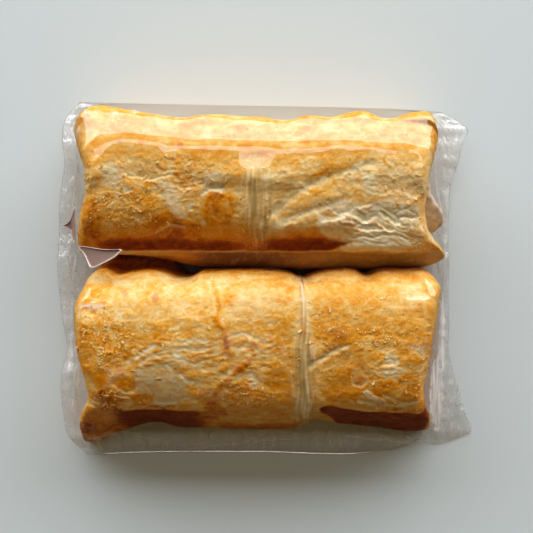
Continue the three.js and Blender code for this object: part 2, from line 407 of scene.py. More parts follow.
def roll_grid(roll):
    """Rings of points of a roll's plain form, from inside its left end to inside its right end."""
    ring = closed_ring(roll["section"])
    core = meat_ring(roll["meat"], ring)
    y, z = ring.T
    low = 1 - z / z.max()
    near = smoothstep(-y, -roll["middle"], -roll["foot_at"]) * smoothstep(low, *roll["drawn_in"])
    far = smoothstep(y, roll["middle"], roll["far_at"]) * smoothstep(low, *FAR_DRAWN_IN)
    skirted = smoothstep(y, 3, 4) * smoothstep(low, 0.7, 0.93)
    rounding = FOOT_ROUNDING + (END_ROUNDING - FOOT_ROUNDING) * smoothstep(y - roll["foot_at"], *FOOT_REACH)
    quarter = np.linspace(0, np.pi / 2, END_RINGS + 1)[1:]
    turn = [(END_SHARE * (1 - np.cos(angle)), 1 - np.sin(angle)) for angle in quarter]
    rings = []

    def end(side, inward):
        """Where the roll ends, for a ring drawn in towards the meat."""
        place = y + (core[:, 0] - y) * inward
        upper = through(roll[side], place)
        base = through(roll[side + "_base"], place)
        return upper + (base - upper) * smoothstep(low, BASE_STARTS, 1)

    def add(x, inward):
        drift_near = through(roll["foot"], x) - roll["foot_at"]
        drift_far = through(roll["far_edge"], x) - roll["far_at"]
        yy = y + near * drift_near + far * drift_far + roll["skirt"](x) * skirted
        zz = roll["top"](x, yy, z + roll["crest"](x, yy))
        rings.append(np.stack([x, yy + (core[:, 0] - yy) * inward, zz + (core[:, 1] - zz) * inward], axis=1))

    inner_left, inner_right = end("left", 0) + rounding, end("right", 0) - rounding
    add(end("left", 1) + RECESS, 1)
    add(end("left", 1) + RECESS_BRINK, 1)
    for inward, back in turn[::-1]:
        add(end("left", inward) + rounding * back, inward)
    for share in np.linspace(0, 1, ROLL_COLUMNS):
        add(inner_left + (inner_right - inner_left) * share, 0)
    for inward, back in turn:
        add(end("right", inward) - rounding * back, inward)
    add(end("right", 1) - RECESS_BRINK, 1)
    add(end("right", 1) - RECESS, 1)
    return np.array(rings)


# ---------------------------------------------------------------- marks on the crust

# Patches are (X, Y, half length, half width, turn in degrees, strength).
FAR_PATCHES = dict(
    cream=[
        (45, 22, 16, 6.5, -4, 0.15), (50, 37, 15, 7, -5, 0.5), (57.5, 18, 6.5, 5.5, 0, 0.6),
        (11, 22, 10, 3.2, 14, 0.35), (5, 41, 7, 2.2, 12, 0.5), (-62, 41, 3, 4, 0, 0.3),
        (66.5, 24, 3, 8, 0, 0.8),
    ],
    olive=[
        (4, 35, 9, 7, 8, 0.4), (-20, 38, 5, 4.4, 0, 0.3), (-3, 31, 4.5, 15, 0, 0.4),
        (14, 38, 6, 3, 20, 0.15), (-47, 44, 7, 3, 0, 0.3),
    ],
    amber=[
        (-50, 26, 15, 7, -4, 0.45), (-37, 21.5, 9.5, 4.6, 0, 0.5), (-5, 14.5, 5.5, 4.5, 0, 0.9),
        (8, 16, 9, 3, 0, 0.6), (-62, 16, 12, 4, 0, 0.5), (-20, 19, 10, 4, 0, 0.5),
    ],
    crumb=[
        (-56, 27, 13, 7.5, -5, 0.9), (59, 19, 5, 7, 10, 1), (-46, 40, 12, 9, 0, 0.4),
        (55, 36, 8, 8, 0, 0.5), (-68, 46, 6, 10, 0, 0.6), (-5, 15, 5, 5, 0, 0.6), (-30, 41, 10, 7, 0, 0.4),
    ],
    wrinkle=[
        (-34, 37, 10, 8, 0, 0.7), (-62, 37, 6, 10, 0, 0.5), (8, 38, 9, 5, 15, 0.5), (50, 44, 12, 5, 0, 0.3),
    ],
    leaves=[(45, 22, 17, 7, -5, 0.22), (40, 37, 4, 6, -10, 0.2)],
    red=[(-57, 53.5, 1.5, 0.7, 0, 0.7), (-33.5, 52.8, 1.2, 0.6, 0, 0.6), (38, 61.5, 0.8, 0.6, 0, 0.6)],
    burnt=[],
)
NEAR_PATCHES = dict(
    cream=[
        (-5, -9, 10, 6, 10, 0.3), (14.6, -49, 3.4, 4, 0, 0.5), (58, -4.5, 5, 3, 0, 0.3),
        (-10, -25, 12, 5, 0, 0.2),
    ],
    olive=[
        (14.5, -36, 4.2, 17, -3, 0.55), (-42, -38, 9, 7, 0, 0.45), (27, -30, 6, 5, 30, 0.4),
        (-30, -35, 9, 5, 0, 0.3),
    ],
    amber=[
        (-17, -42.5, 7.5, 1.9, 58, 0.5), (5, -46, 6, 8.5, 0, 0.6), (30, -43, 9, 6, 0, 0.5),
        (-68.5, -6.5, 8, 5.5, 0, 0.7), (-66, -25, 6, 14, 0, 0.4), (30, -17, 11, 6, 0, 0.6),
        (-14, -23, 4, 5, 0, 0.6), (32, -7, 16, 5, 0, 0.25), (56, -50, 12, 3, 0, 0.5),
        (-9, -47, 9, 4, 0, 0.4), (6, -22, 4, 14, 0, 0.3),
    ],
    crumb=[
        (-63, -21, 10, 13, 10, 0.9), (-62, -48, 6.5, 6, 0, 1), (44, -24, 5, 5, 0, 0.9),
        (-8, -47, 10, 6, 0, 0.8), (54, -51, 13, 3, 0, 0.9), (35, -17, 26, 12, 0, 0.3),
        (60, -32, 5, 10, 0, 0.4), (57, -41, 5, 5, 0, 0.6),
    ],
    wrinkle=[
        (-42, -30, 12, 6, 15, 1), (-26, -28, 10, 6.5, -8, 1), (-2, -28, 9, 6, 15, 0.8),
        (58, -6.5, 6, 4, 0, 0.8), (-68, -9, 6, 4, 0, 0.6), (-12, -37, 12, 6, 0, 0.7),
    ],
    leaves=[(47, -33, 6, 5, 0, 0.2)],
    red=[
        (-55.6, -5.2, 2, 0.9, -35, 0.5), (-43.6, -7, 1.2, 1.6, 0, 0.55), (-13.5, -9.3, 0.8, 0.8, 0, 0.4),
        (54, -12, 0.9, 0.8, 0, 0.3), (-21, -46, 5, 3, 0, 0.3),
    ],
    burnt=[
        (-63, -49, 5.6, 6, -15, 0.25), (-67, -58, 8, 6, -20, 0.3), (-74, -66, 6, 6, 0, 0.62),
        (-65, -65.5, 4, 1.6, -10, 0.7), (-21.5, -53.5, 4.6, 4.6, 0, 0.5),
    ],
)
# How each kind of flake differs from the crust: shares of white, cream, olive and pink, darker baking, and
# smoothness.
TONES = dict(
    golden=(0, 0.06, 0, 0, -0.03, 0), golden_cream=(0.25, 0.5, 0.15, 0, -0.08, 0.3),
    cream=(0.3, 0.7, 0, 0, -0.1, 0.2), white=(1, 0.4, 0, 0, -0.2, 0.2), pale=(0.25, 0.4, 0.35, 0, 0, 0.2),
    dull=(0.08, 0.25, 0.5, 0.03, 0, 0.5), amber=(0, 0, 0, 0, 0.19, 0.7), orange=(0, 0, 0, 0, 0.15, 0.4),
    deep_amber=(0, 0, 0, 0, 0.26, 0.8), rim_gold=(0.1, 0.6, 0, 0, -0.2, 0.2),
    mottled=(0, 0, 0, 0.12, 0.16, 0), tan=(0, 0.1, 0, 0.05, 0.05, 0), tan_amber=(0, 0, 0, 0.05, 0.12, 0),
    brown=(0, 0, 0, 0, 0.42, 0.5), burnt=(0, 0, 0, 0, 0.16, 0), rosy=(0.15, 0.3, 0.1, 0.35, 0.05, 0.5),
    open=(0.4, 0.75, 0.1, 0, -0.15, 0.6), rosy_cream=(0.3, 0.6, 0.05, 0.16, -0.05, 0.4),
    # The tone of the hollows between layers is a dark olive-brown of painted shade.
    tan_cream=(0.1, 0.6, 0.1, 0.08, 0, 0.6), hollow=(0, 0.25, 0.55, 0.1, 0.12, 0.4),
    olive_gold=(0, 0.3, 0.45, 0, 0.02, 0.6), slab=(0.35, 0.8, 0.1, 0, -0.1, 0.6),
    grey_cream=(0.35, 0.6, 0.35, 0.03, 0, 0.5), slab_gold=(0.1, 0.6, 0.2, 0, -0.05, 0.6),
    grey_white=(0.75, 0.6, 0.15, 0, -0.1, 0.5), lower_cream=(0.45, 0.9, 0.06, 0, -0.15, 0.6),
    orange_light=(0, 0.15, 0, 0, -0.08, 0.5), grey_meat=(0.45, 0.1, 0.45, 0.15, 0, 0.5),
)
# Flakes are (tone, height above the crust, outline as (X, Y) points).
FAR_LEAVES = [
    ("golden", 0.55, [(-56.2, 45.4), (-51.7, 48), (-44.6, 47.5), (-41.5, 43.4), (-36, 43.4), (-35.5, 40.4),
        (-41.5, 39.3), (-47.1, 38.6), (-51.7, 39.4), (-55.7, 41.4)]),
    ("mottled", 0.35, [(-36, 41.4), (-32.9, 43.4), (-28.9, 41.9), (-28.9, 37.3), (-31.4, 34.3),
        (-34.4, 34.8)]),
    ("golden", 0.3, [(-28.9, 40.4), (-24.8, 41.4), (-22.8, 38.8), (-23.8, 36.3), (-27.9, 36.8)]),
    ("cream", 0.4, [(-24.8, 36.3), (-20.2, 36.8), (-16.7, 35.8), (-17.2, 34.3), (-21.3, 34.5),
        (-23.8, 35.3)]),
    ("pale", -0.2, [(-23.8, 40.9), (-17.7, 41.4), (-17.2, 37.3), (-22.8, 36.8)]),
    ("deep_amber", -0.2, [(-24.8, 28.7), (-22.8, 32.3), (-19.2, 34.3), (-14.7, 33.3), (-12.1, 31.2),
        (-11.6, 27.2), (-14.2, 23.1), (-20.2, 22.1), (-24.3, 24.1)]),
    ("pale", -0.2, [(-42, 37.8), (-38, 38.3), (-35.5, 33.3), (-34.4, 29.7), (-31.4, 26.2), (-31.9, 23.6),
        (-34.4, 23.6), (-37, 27.2), (-40, 32.3)]),
    ("pale", -0.1, [(-62.8, 43.4), (-59.8, 44.9), (-56.2, 43.4), (-56.2, 39.3), (-57.8, 36.3),
        (-60.8, 36.8), (-62.8, 39.3)]),
    ("cream", 0.45, [(-31.1, 29.5), (-28.6, 29.7), (-28.1, 27.7), (-30.4, 27.2)]),
    ("cream", 0.5, [(-25.8, 23.1), (-24.3, 23.9), (-23.5, 21.9), (-25.1, 21.1)]),
    ("deep_amber", 0, [(-70.9, 31.7), (-66.9, 31.7), (-63.8, 29.7), (-64.8, 23.1), (-67.4, 17),
        (-71.9, 17), (-72.5, 23.1)]),
    ("amber", -0.1, [(-44.6, 24.7), (-38, 26.2), (-31.4, 23.1), (-25.3, 21.1), (-26.8, 17.6), (-36.5, 17),
        (-44.6, 17.6)]),
    ("golden", 0.4, [(-51.7, 26.2), (-47.6, 26.7), (-46.6, 23.1), (-49.6, 21.6)]),
    ("cream", 0.3, [(-56.2, 36.8), (-52.7, 36.3), (-51.7, 34.3), (-55.2, 33.8)]),
    ("orange_light", -0.2, [(6.4, 25.5), (11.9, 29.4), (18.9, 31.5), (26, 33.7), (28.2, 32.6),
        (21.7, 29.9), (15.1, 27.2), (8.1, 23.9)]),
    ("pale", 0, [(36.9, 39.7), (40.7, 40.5), (43.4, 39.1), (41.8, 36.4), (43.4, 33.7), (40.7, 34.3),
        (38, 37)]),
    ("golden", 0.25, [(42.3, 39.7), (46.7, 40.2), (49.4, 38.1), (48.3, 34.8), (44, 34.3), (42.3, 37)]),
    ("tan", 0.4, [(48.8, 38.6), (54.3, 40.8), (59.7, 39.1), (61.4, 34.8), (58.1, 31.5), (52.1, 33.7),
        (48.8, 34.8)]),
    ("golden", 0.4, [(21.1, 25), (26, 27.2), (30.4, 26.6), (28.2, 23.9), (22.2, 23.4)]),
    ("open", 0, [(20.3, 25.8), (24, 29.3), (31.6, 30.6), (34.4, 29.9), (37.2, 28.6), (40.7, 29.3),
        (43.5, 29.9), (47.3, 30.6), (53.2, 29.6), (58.8, 28.6), (60.1, 24.5), (56.7, 20.8), (52.5, 20.8),
        (53.5, 16.8), (56.6, 14.8), (53.7, 12), (32.2, 12.4), (29.2, 12.4), (21.6, 19.4), (20.4, 22.1)]),
    ("rosy_cream", 0.3, [(24, 28.9), (31.6, 30.6), (33.8, 27.9), (33.1, 26.2), (30.4, 25.8), (26.9, 26.9),
        (24.8, 27.5)]),
    ("amber", 0.2, [(21, 25.5), (23.4, 26.5), (26.5, 25.8), (28, 25.2), (26.6, 24), (23.8, 24),
        (21.7, 24.8)]),
    ("cream", 0.5, [(20.9, 23.8), (24.2, 23.6), (26.6, 24), (29.2, 24.7), (29.1, 23.8), (27, 22.8),
        (21.4, 22.6)]),
    ("tan_cream", 0.3, [(21, 21.1), (23.5, 22.4), (27, 22.6), (28.2, 21.1), (30.5, 18.7), (24.6, 18.1),
        (22.4, 19.1)]),
    ("open", 0.35, [(22.4, 18.7), (24.6, 18.2), (30.5, 18.7), (31.1, 17.4), (32.6, 15.8), (39, 15.1),
        (39.3, 14.1), (30.9, 14.1), (29.5, 12.7), (26.6, 15.1)]),
    ("hollow", -0.7, [(27.4, 23.1), (31.1, 25.5), (32.5, 25.5), (35, 23.8), (36.1, 22.8), (34.1, 21.4),
        (32, 22.1), (29.2, 22.1)]),
    ("olive_gold", -0.2, [(27.4, 22.4), (31.9, 22.4), (34.8, 21.1), (35.8, 19.4), (38, 18.7), (42.9, 18.9),
        (43.1, 17.9), (38.2, 17.7), (34, 17.4), (30.9, 19.1)]),
    ("cream", 0.3, [(31.8, 24.5), (36.1, 22.8), (37.6, 21.4), (35.5, 21.1), (34.1, 21.4), (32.6, 22.8)]),
    ("hollow", -0.6, [(34.5, 27.9), (37.2, 28.6), (40.7, 29.3), (39.7, 27.5), (39.4, 25.8), (37.3, 25.7),
        (35.9, 26.9)]),
    ("grey_cream", 0.1, [(40.7, 28.9), (43.5, 29.3), (43.9, 26.9), (40.1, 25.5), (39.6, 26.5)]),
    ("white", 0.8, [(33.5, 26.2), (36, 24.8), (37.4, 24.5), (39.8, 24.8), (43.9, 26.7), (43.8, 25.3),
        (42.3, 24.3), (39.6, 23.1), (37.9, 22.1), (36.9, 22.3), (36.8, 23.8), (34.6, 24.8)]),
    ("hollow", -0.5, [(39.6, 22.8), (43.1, 23.5), (43.9, 21.4), (42.5, 21.6), (38.3, 21.8)]),
    ("grey_cream", 0, [(48.4, 28.2), (50.1, 29.3), (53.2, 29.3), (58.1, 28.6), (59, 25.5), (58.3, 24.8),
        (55.2, 24.8), (52, 25.5), (50.3, 25.5), (48.4, 27.2)]),
    ("slab", 0.9, [(43.8, 28.9), (45.6, 28.9), (48.4, 26.9), (50.6, 25.2), (52.9, 23.1), (53, 21.8),
        (50.6, 21.6), (48.4, 23.1), (45.8, 24.8), (44.3, 26.5)]),
    ("slab_gold", 0.7, [(43.1, 23.8), (45.1, 24.3), (48, 23.1), (50.6, 21.4), (50.6, 19.8), (49.3, 19.1),
        (47.1, 19.4), (44.3, 21.4), (43.3, 22.4)]),
    ("grey_white", 0.8, [(35.6, 20.8), (36.9, 21.6), (42.5, 21.4), (44.4, 20.8), (45.1, 19.9),
        (43.5, 19.4), (40.8, 18.9), (36.5, 19.1), (35.5, 19.8)]),
    ("hollow", -0.4, [(44.9, 20.1), (49.3, 19.1), (47.3, 18.4), (44.7, 18.7)]),
    ("grey_cream", -0.3, [(52.8, 23.8), (56.3, 23.8), (56.9, 21.4), (54.6, 20.9), (52.4, 21.4)]),
    ("olive_gold", 0.2, [(45.7, 17.7), (49.6, 17.7), (53.5, 16.8), (56.4, 15.1), (52.6, 14.1),
        (48.3, 15.4), (45.3, 16.8)]),
    ("lower_cream", 0, [(30.9, 16.8), (46.6, 16.1), (48.6, 14.8), (52.9, 13.4), (52.9, 12), (42.5, 11.7),
        (32.2, 12.4), (29.6, 12.4)]),
    ("rosy_cream", 0.1, [(48.6, 14.8), (50.6, 15.1), (54.5, 12.7), (51.3, 12.4)]),
    ("orange_light", 0.5, [(52.3, 19.8), (54.7, 20.4), (57.7, 19.4), (60.2, 17.1), (59.7, 15.8),
        (56, 16.8), (53.4, 18.1)]),
]
NEAR_LEAVES = [
    ("amber", 0.5, [(-60.1, -38.3), (-56.5, -37.3), (-51.9, -38.3), (-50.4, -41.3), (-51.9, -44.4),
        (-55, -44.9), (-58.6, -42.9), (-60.1, -40.8)]),
    ("amber", 0.45, [(-54, -45.9), (-49.9, -44.6), (-44.3, -45.4), (-44.8, -49.5), (-49.9, -51.3),
        (-53.5, -50.5)]),
    ("tan", 0.7, [(-59.6, -43.4), (-55.5, -42.9), (-54, -45.9), (-57, -46.4), (-59.6, -45.4)]),
    ("tan", 0.7, [(-61.1, -52.5), (-58, -48), (-54.5, -47.4), (-54, -49.5), (-57.5, -52), (-60.6, -54.6)]),
    ("burnt", 0, [(-69.8, -43.4), (-63.6, -42.9), (-59.1, -45.9), (-60.1, -52), (-63.6, -55.6),
        (-68.7, -51.5)]),
    ("tan", 0.6, [(-70.4, -47.2), (-66, -45.4), (-62.6, -47), (-63.4, -50), (-67.8, -51.6), (-70.8, -50)]),
    ("tan", 0.25, [(-67, -54.6), (-63.6, -52.2), (-60.6, -53), (-62, -56), (-66, -57.8)]),
    ("amber", 0.4, [(-76.5, -57), (-73, -55), (-70.6, -58), (-72, -63), (-76, -62)]),
    ("tan_amber", 0.7, [(-77, -63.8), (-70, -61.4), (-63, -62), (-60.5, -64), (-66, -68), (-74, -70),
        (-78, -67)]),
    ("rosy", -0.25, [(-61.6, -34.7), (-56, -35.2), (-55, -37.3), (-59.1, -37.8), (-62.6, -41.8)]),
    ("amber", 0.1, [(-67.2, -35.2), (-62.6, -34.7), (-62.1, -38.8), (-63.6, -41.3), (-66.7, -40.3)]),
    # This dull olive flake lies on a slope in shade, and its darker olive is partly painted shade.
    ("dull", -0.1, [(-50.9, -35.2), (-44.8, -35.7), (-34.6, -36.8), (-31.6, -40.3), (-32.1, -45.4),
        (-35.6, -48.5), (-43.8, -48), (-44.8, -45.4), (-49.4, -44.4), (-50.4, -40.3)]),
    ("tan_cream", 0.15, [(-43.8, -47.7), (-35.6, -48), (-35.6, -49), (-40.2, -49.5), (-43.8, -48.9)]),
    ("brown", 0.35, [(-45.8, -49.6), (-42, -50.7), (-35.8, -49.6), (-37.4, -51.6), (-42.4, -52.3),
        (-46.6, -52.3)]),
    ("deep_amber", 0, [(-12.7, -33.2), (-9.1, -31.7), (-7.1, -33.7), (-9.7, -36.2), (-12.2, -35.2)]),
    ("tan", 0.5, [(33.8, -33.4), (39.3, -32.3), (39.8, -38.3), (37.1, -42.1), (33.8, -41.1),
        (32.7, -37.2)]),
    ("rim_gold", 0.35, [(46.4, -27.9), (50.2, -28.5), (51.8, -32.3), (50.2, -33.9), (45.8, -33.4)]),
    ("golden_cream", -0.1, [(45.8, -35), (52.4, -34.5), (53.5, -36.1), (50.2, -38.3), (46.4, -37.2)]),
    ("amber", -0.2, [(42.5, -41.1), (49.1, -40), (51.8, -42.1), (50.7, -45.4), (44.7, -46), (41.4, -43.2)]),
    ("tan_amber", -0.25, [(52.4, -38.3), (56.2, -36.7), (59.5, -39.4), (60.6, -44.9), (57.8, -47.6),
        (52.9, -46.5), (51.8, -42.1)]),
    ("grey_meat", -0.4, [(36.5, -44.1), (39.3, -43.2), (42, -44.9), (44.7, -46.5), (46.9, -48.2),
        (43.6, -48.8), (40.3, -47.1)]),
    ("rim_gold", 0.45, [(36, -47.1), (42.5, -49.3), (50.2, -49.8), (58.4, -47.6), (60.6, -49.3),
        (50.2, -50.9), (42, -50.3), (36, -48.7)]),
    ("orange", 0.2, [(-1.2, -40.5), (5.4, -39.4), (5.9, -43.2), (-0.7, -43.2)]),
    ("pale", 0.2, [(55.7, -25.7), (61.7, -26.3), (62.2, -29), (58.4, -27.9)]),
    ("cream", 0.3, [(54.6, -5), (63.3, -6.1), (62.8, -7.3), (55.1, -7.3)]),
]
# Ridges and cracks are (points, width, height, share of pale cream): raised where the height is above zero.
FAR_LINES = [
    ([(-0.5, 22.5), (5, 29), (10, 32.5), (18.5, 37.5), (26, 40.5), (33.5, 42.8), (40, 45)], 2, 0.65, 0),
    ([(0, 19), (6, 22.6), (14, 26), (22, 29.2), (30, 31)], 1.8, 0.45, 0.08),
    ([(-25, 33.6), (-22, 35.6), (-17.5, 35.8)], 0.7, 0.5, 0.4),
    ([(46, 48.5), (45.3, 46.5), (48, 43.8)], 0.35, -0.2, 0),
    ([(43.5, 40.6), (47.5, 40.4), (50, 38), (49.2, 34.6)], 0.4, -0.2, 0),
    ([(-44, 18.5), (-38, 21.6), (-32, 20.6)], 0.5, 0.35, 0.3),
    ([(26.3, 26.8), (28.3, 25.8), (30.4, 26), (31, 26.6)], 0.35, 0.35, 0.8),
    ([(49.9, 25.5), (51.9, 26.9), (56, 28.2)], 0.4, 0.3, 0.6),
    ([(52.1, 24.5), (54.5, 24.8), (57, 24.1), (59.4, 24.8)], 0.45, 0.4, 1),
    ([(30.8, 17.3), (34.2, 16.4), (37.6, 17.3), (41.4, 16.4), (43.8, 16.8), (45.6, 17.9), (49.6, 17.7),
        (52.7, 17.1), (55.3, 15.8)], 0.5, 0.35, 0.8),
    ([(39, 15.1), (42.1, 14.4), (46.3, 14.1), (48.5, 14.9)], 0.5, 0.2, 0.8),
    ([(21.6, 19.1), (26.5, 15.4), (31.1, 12.4)], 0.4, 0.3, 0.35),
    ([(44.9, 27.5), (47.8, 25.5), (50.1, 23.8)], 0.3, -0.3, 0.3),
    ([(53.6, 27.9), (56.1, 26.9), (58.6, 25.5)], 0.35, 0.3, 0.5),
    ([(49.1, 27.2), (51.9, 27.9)], 0.3, 0.3, 0.5),
    ([(36.2, 21.4), (39.4, 21), (43.3, 20.9)], 0.3, 0.2, 0.5),
]
NEAR_LINES = [
    ([(-20.6, -14.2), (-16.7, -19.8), (-14.2, -28.3)], 1, -0.3, 0),
    ([(-5.5, -24), (-4.8, -29), (-8.5, -33.2), (-14, -38), (-20.5, -44)], 1.2, -0.25, 0),
    ([(17.5, -33.6), (24.2, -28.6), (30.6, -25.8)], 1.1, 0.75, 0.2),
    ([(44, -28.5), (50, -30.5), (49.8, -34), (44, -34.6)], 0.4, -0.15, 0),
    ([(13.9, 2), (13.8, -6.5)], 0.5, -0.5, 0),
    ([(15.2, -7), (15.5, -12), (16, -18), (15.6, -24)], 0.45, 0.1, 0.2),
    ([(46.6, -45.4), (49.6, -46.6), (53.4, -49.2)], 0.7, 0.3, 0.12),
    ([(36.5, -47.5), (42.5, -49.6), (50, -50.4)], 0.6, 0.3, 0.12),
    ([(-21, -1), (-19.8, -5.5), (-18.5, -9), (-19, -14)], 0.9, -0.2, 0),
    ([(-50.5, -30.3), (-47.2, -27.6), (-43.5, -25)], 0.7, 0.2, 0.5),
    ([(-49.5, -32.5), (-44.6, -29.8), (-41, -29.6)], 0.6, 0.14, 0.3),
    ([(-36, -30.6), (-32, -31.2), (-28, -33)], 0.7, 0.2, 0.5),
    ([(-35, -28), (-31.2, -26.4), (-27, -27.4), (-23, -26.6)], 0.7, 0.18, 0.3),
    ([(-32, -24), (-27.5, -22.8), (-23, -24.4)], 0.8, 0.2, 0.3),
    ([(-33.4, -37), (-31.4, -39.2), (-29, -39.9)], 0.7, 0.23, 0.6),
    ([(-38.5, -33.2), (-37.5, -34.6)], 0.8, 0.18, 0.7),
    ([(-35.5, -28.8), (-34.6, -29.4)], 0.7, 0.18, 0.8),
    ([(-6, -37), (-4.6, -39.5), (-5.4, -41.8)], 1.2, 0.32, 0.35),
    ([(-14, -22), (-10, -20.6), (-6.5, -21.6)], 0.7, 0.18, 0.4),
    ([(-13.5, -26), (-10.5, -27), (-8.5, -25.6)], 0.7, 0.16, 0.3),
    ([(-44, -48.6), (-40, -49), (-35.8, -48.7)], 0.5, 0.14, 0.7),
]
PATCH_RAGGED = 0.5
CRISP_ABOVE = 0.25  # a flake that stands higher than this, or lies deeper, has a crisp outline


def patch_shares(x, y, patches, seed):
    """The share of each kind of patch at each place."""
    shares = {}
    for kind, rows in patches.items():
        shares[kind] = np.zeros_like(x)
        for k, (*oval, strength) in enumerate(rows):
            patch = strength * blot(x, y, oval, PATCH_RAGGED, seed + 7 * k)
            shares[kind] = np.maximum(shares[kind], patch)
    return shares


def leaf_marks(x, y, z, leaves, seed):
    """Relief, colour shares and pale rims of the listed flakes; the rims are partly painted highlight."""
    sharp = stretched(x, y, z, 1.3, 1.3, 1.3)
    broad = stretched(x, y, z, 4.5, 4.5, 4.5)
    wx = x + 0.45 * noise(sharp, seed + 1) + 0.9 * noise(broad, seed + 2)
    wy = y + 0.45 * noise(sharp, seed + 3) + 0.9 * noise(broad, seed + 4)
    mottle = np.clip(0.8 + 0.7 * noise(sharp * 0.8, seed + 5) + 0.4 * noise(broad, seed + 6), 0.25, 1.2)
    relief = np.zeros_like(x)
    marks = np.zeros((6, len(x)))
    rim = np.zeros_like(x)
    margin = 3
    for tone, height, outline in leaves:
        corners = np.array(outline)
        low, high = corners.min(axis=0), corners.max(axis=0)
        near = np.flatnonzero(
            (x > low[0] - margin) & (x < high[0] + margin) & (y > low[1] - margin) & (y < high[1] + margin)
        )
        depth = depth_inside(wx[near], wy[near], corners)
        crisp = abs(height) > CRISP_ABOVE
        weight = smoothstep(depth, -0.25, 0.45) if crisp else smoothstep(depth, -1.8, 1.0)
        if height > CRISP_ABOVE:
            # A raised flake lies flat along its far side, and lifts along its near side with a pale rim,
            # which is partly a painted highlight.
            down = (high[1] - wy[near]) / (high[1] - low[1])
            relief[near] += height * weight * (0.1 + 0.9 * np.clip(down, 0, 1))
            rim[near] = np.maximum(rim[near], bell(depth - 0.35, 0.4) * smoothstep(down, 0.3, 0.8))
        else:
            relief[near] += height * weight
        amounts = np.array(TONES[tone])[:, None] * weight * mottle[near]
        marks[:, near] = marks[:, near] * (1 - 0.8 * weight) + amounts
    return relief, marks, rim


def far_facet(x, y):
    """The sloping far facet of the far roll, on which the film lies smooth."""
    return smoothstep(y, 46.5, 50) * (1 - smoothstep(y, 62.5, 65.5))


def far_groove(x, y):
    centre = -3.5 + 1.2 * np.sin(y / 9)
    return bell(x - centre, 6.0) * smoothstep(y, 8, 18) * smoothstep(-y, -46, -39)


def near_groove(x, y):
    centre = 14.9 - 0.03 * (y + 30)
    width = 1.2 + 3.6 * smoothstep(-y, 16, 32)
    return bell(x - centre, width) * smoothstep(-y, -4, 2)


def near_calm(x, y):
    """The near roll's far slope, on which the film lies smooth."""
    return 0.6 * smoothstep(y, -18, -6)


def near_dull(x, y):
    """The near roll's far slope is duller towards the right."""
    return 0.24 * smoothstep(x, -30, 15) * smoothstep(y, -27, -8)


def dark_strip_far(x, y, z):
    """The deeply browned strip down the near side of the far roll, above its pale foot, darkened further with
    painted shade.
    """
    wave = 0.5 * np.sin(x / 9) + 0.3 * np.sin(x / 3.1 + 1)
    inside = smoothstep(-z, -34.4 - wave, -30.8 - wave) * smoothstep(z, 26.8, 27.8)
    right = 1 - smoothstep(x - 2.1 * (z - 28.5), 26, 30)
    left = smoothstep(x, -72, -62)
    gap = 1 - 0.6 * bell(x + 6, 6.5)
    return inside * left * right * gap * smoothstep(-y, -26, -21)


NEAR_BRINK = [(-60, 32.5), (-30, 32.4), (10, 32), (22, 34.4), (40, 31.2), (50, 30.4), (66, 29.6)]


def dark_strip_near(x, y, z):
    """The deeply browned strips down the near side of the near roll, darkened further with painted shade,
    with a paler stretch between them.
    """
    brink = through(NEAR_BRINK, x) + 0.4 * np.sin(x / 3.7) + 0.3 * np.sin(x / 1.7)
    inside = smoothstep(brink - z, 0, 1.6 - smoothstep(x, 10, 30))
    left = smoothstep(x, -65, -58) * (1 - smoothstep(x, -32, -19))
    right = smoothstep(x + 0.35 * (z - 30), 21.5, 22.6) * (1 - smoothstep(x, 67, 69))
    middle = 0.6 * smoothstep(-z, -20, -8) * smoothstep(x, -24, -18) * (1 - smoothstep(x, 12, 16))
    return np.maximum(inside * np.maximum(left, right), middle) * smoothstep(-y, 46, 50)


# How each roll is formed and baked: its browning, its far slope painted paler as light, its near slope and
# crown painted browner as shade, painted shade on its far foot and low on its near foot, its darkest strip,
# which is partly painted shade, the top of its pale lip, and the lip's browning as (X, browning).
FAR_ROLL.update(
    crest=far_crest, top=far_top, skirt=lambda x: 0, drawn_in=(0.37, 0.5), seed=100, patches=FAR_PATCHES,
    leaves=FAR_LEAVES, lines=FAR_LINES, groove=far_groove, strip=dark_strip_far, calm=far_facet,
    dull=lambda x, y: 0.2 * far_facet(x, y), bake=0.37, pale_slope=0, near_slope=0.12, crown=0, dark_gap=0,
    deep_foot=0.22, dark=0.9, lip_top=27.7,
    lip=[
        (-80, 0.34), (-41, 0.45), (-29.5, 0.74), (-23.7, 0.94), (-14, 1), (-6.4, 0.95), (3.3, 0.84),
        (13, 0.71), (28, 0.53), (40, 0.41), (51, 0.33), (78, 0.31),
    ],
)
NEAR_ROLL.update(
    crest=lambda x, y: 0, top=lambda x, y, z: z, skirt=near_skirt, drawn_in=(0.12, 0.75), seed=300,
    patches=NEAR_PATCHES, leaves=NEAR_LEAVES, lines=NEAR_LINES, groove=near_groove, strip=dark_strip_near,
    calm=near_calm, dull=near_dull, bake=0.42, pale_slope=0.16, near_slope=0.01, crown=0.05, dark_gap=0.4,
    deep_foot=0, dark=0.79, lip_top=2.5, lip=[(-80, 0.28), (80, 0.28)],
)


# ---------------------------------------------------------------- the crust

TILE_SIZE = (5.6, 3.6, 3.6)
CHIP_SIZE = (2.3, 1.5, 1.5)
CRUMB_SIZE = 1.35
LAYER_PITCH = 1.9
PROUD_REACH = 4  # points on each side among which a place counts as high or hollow


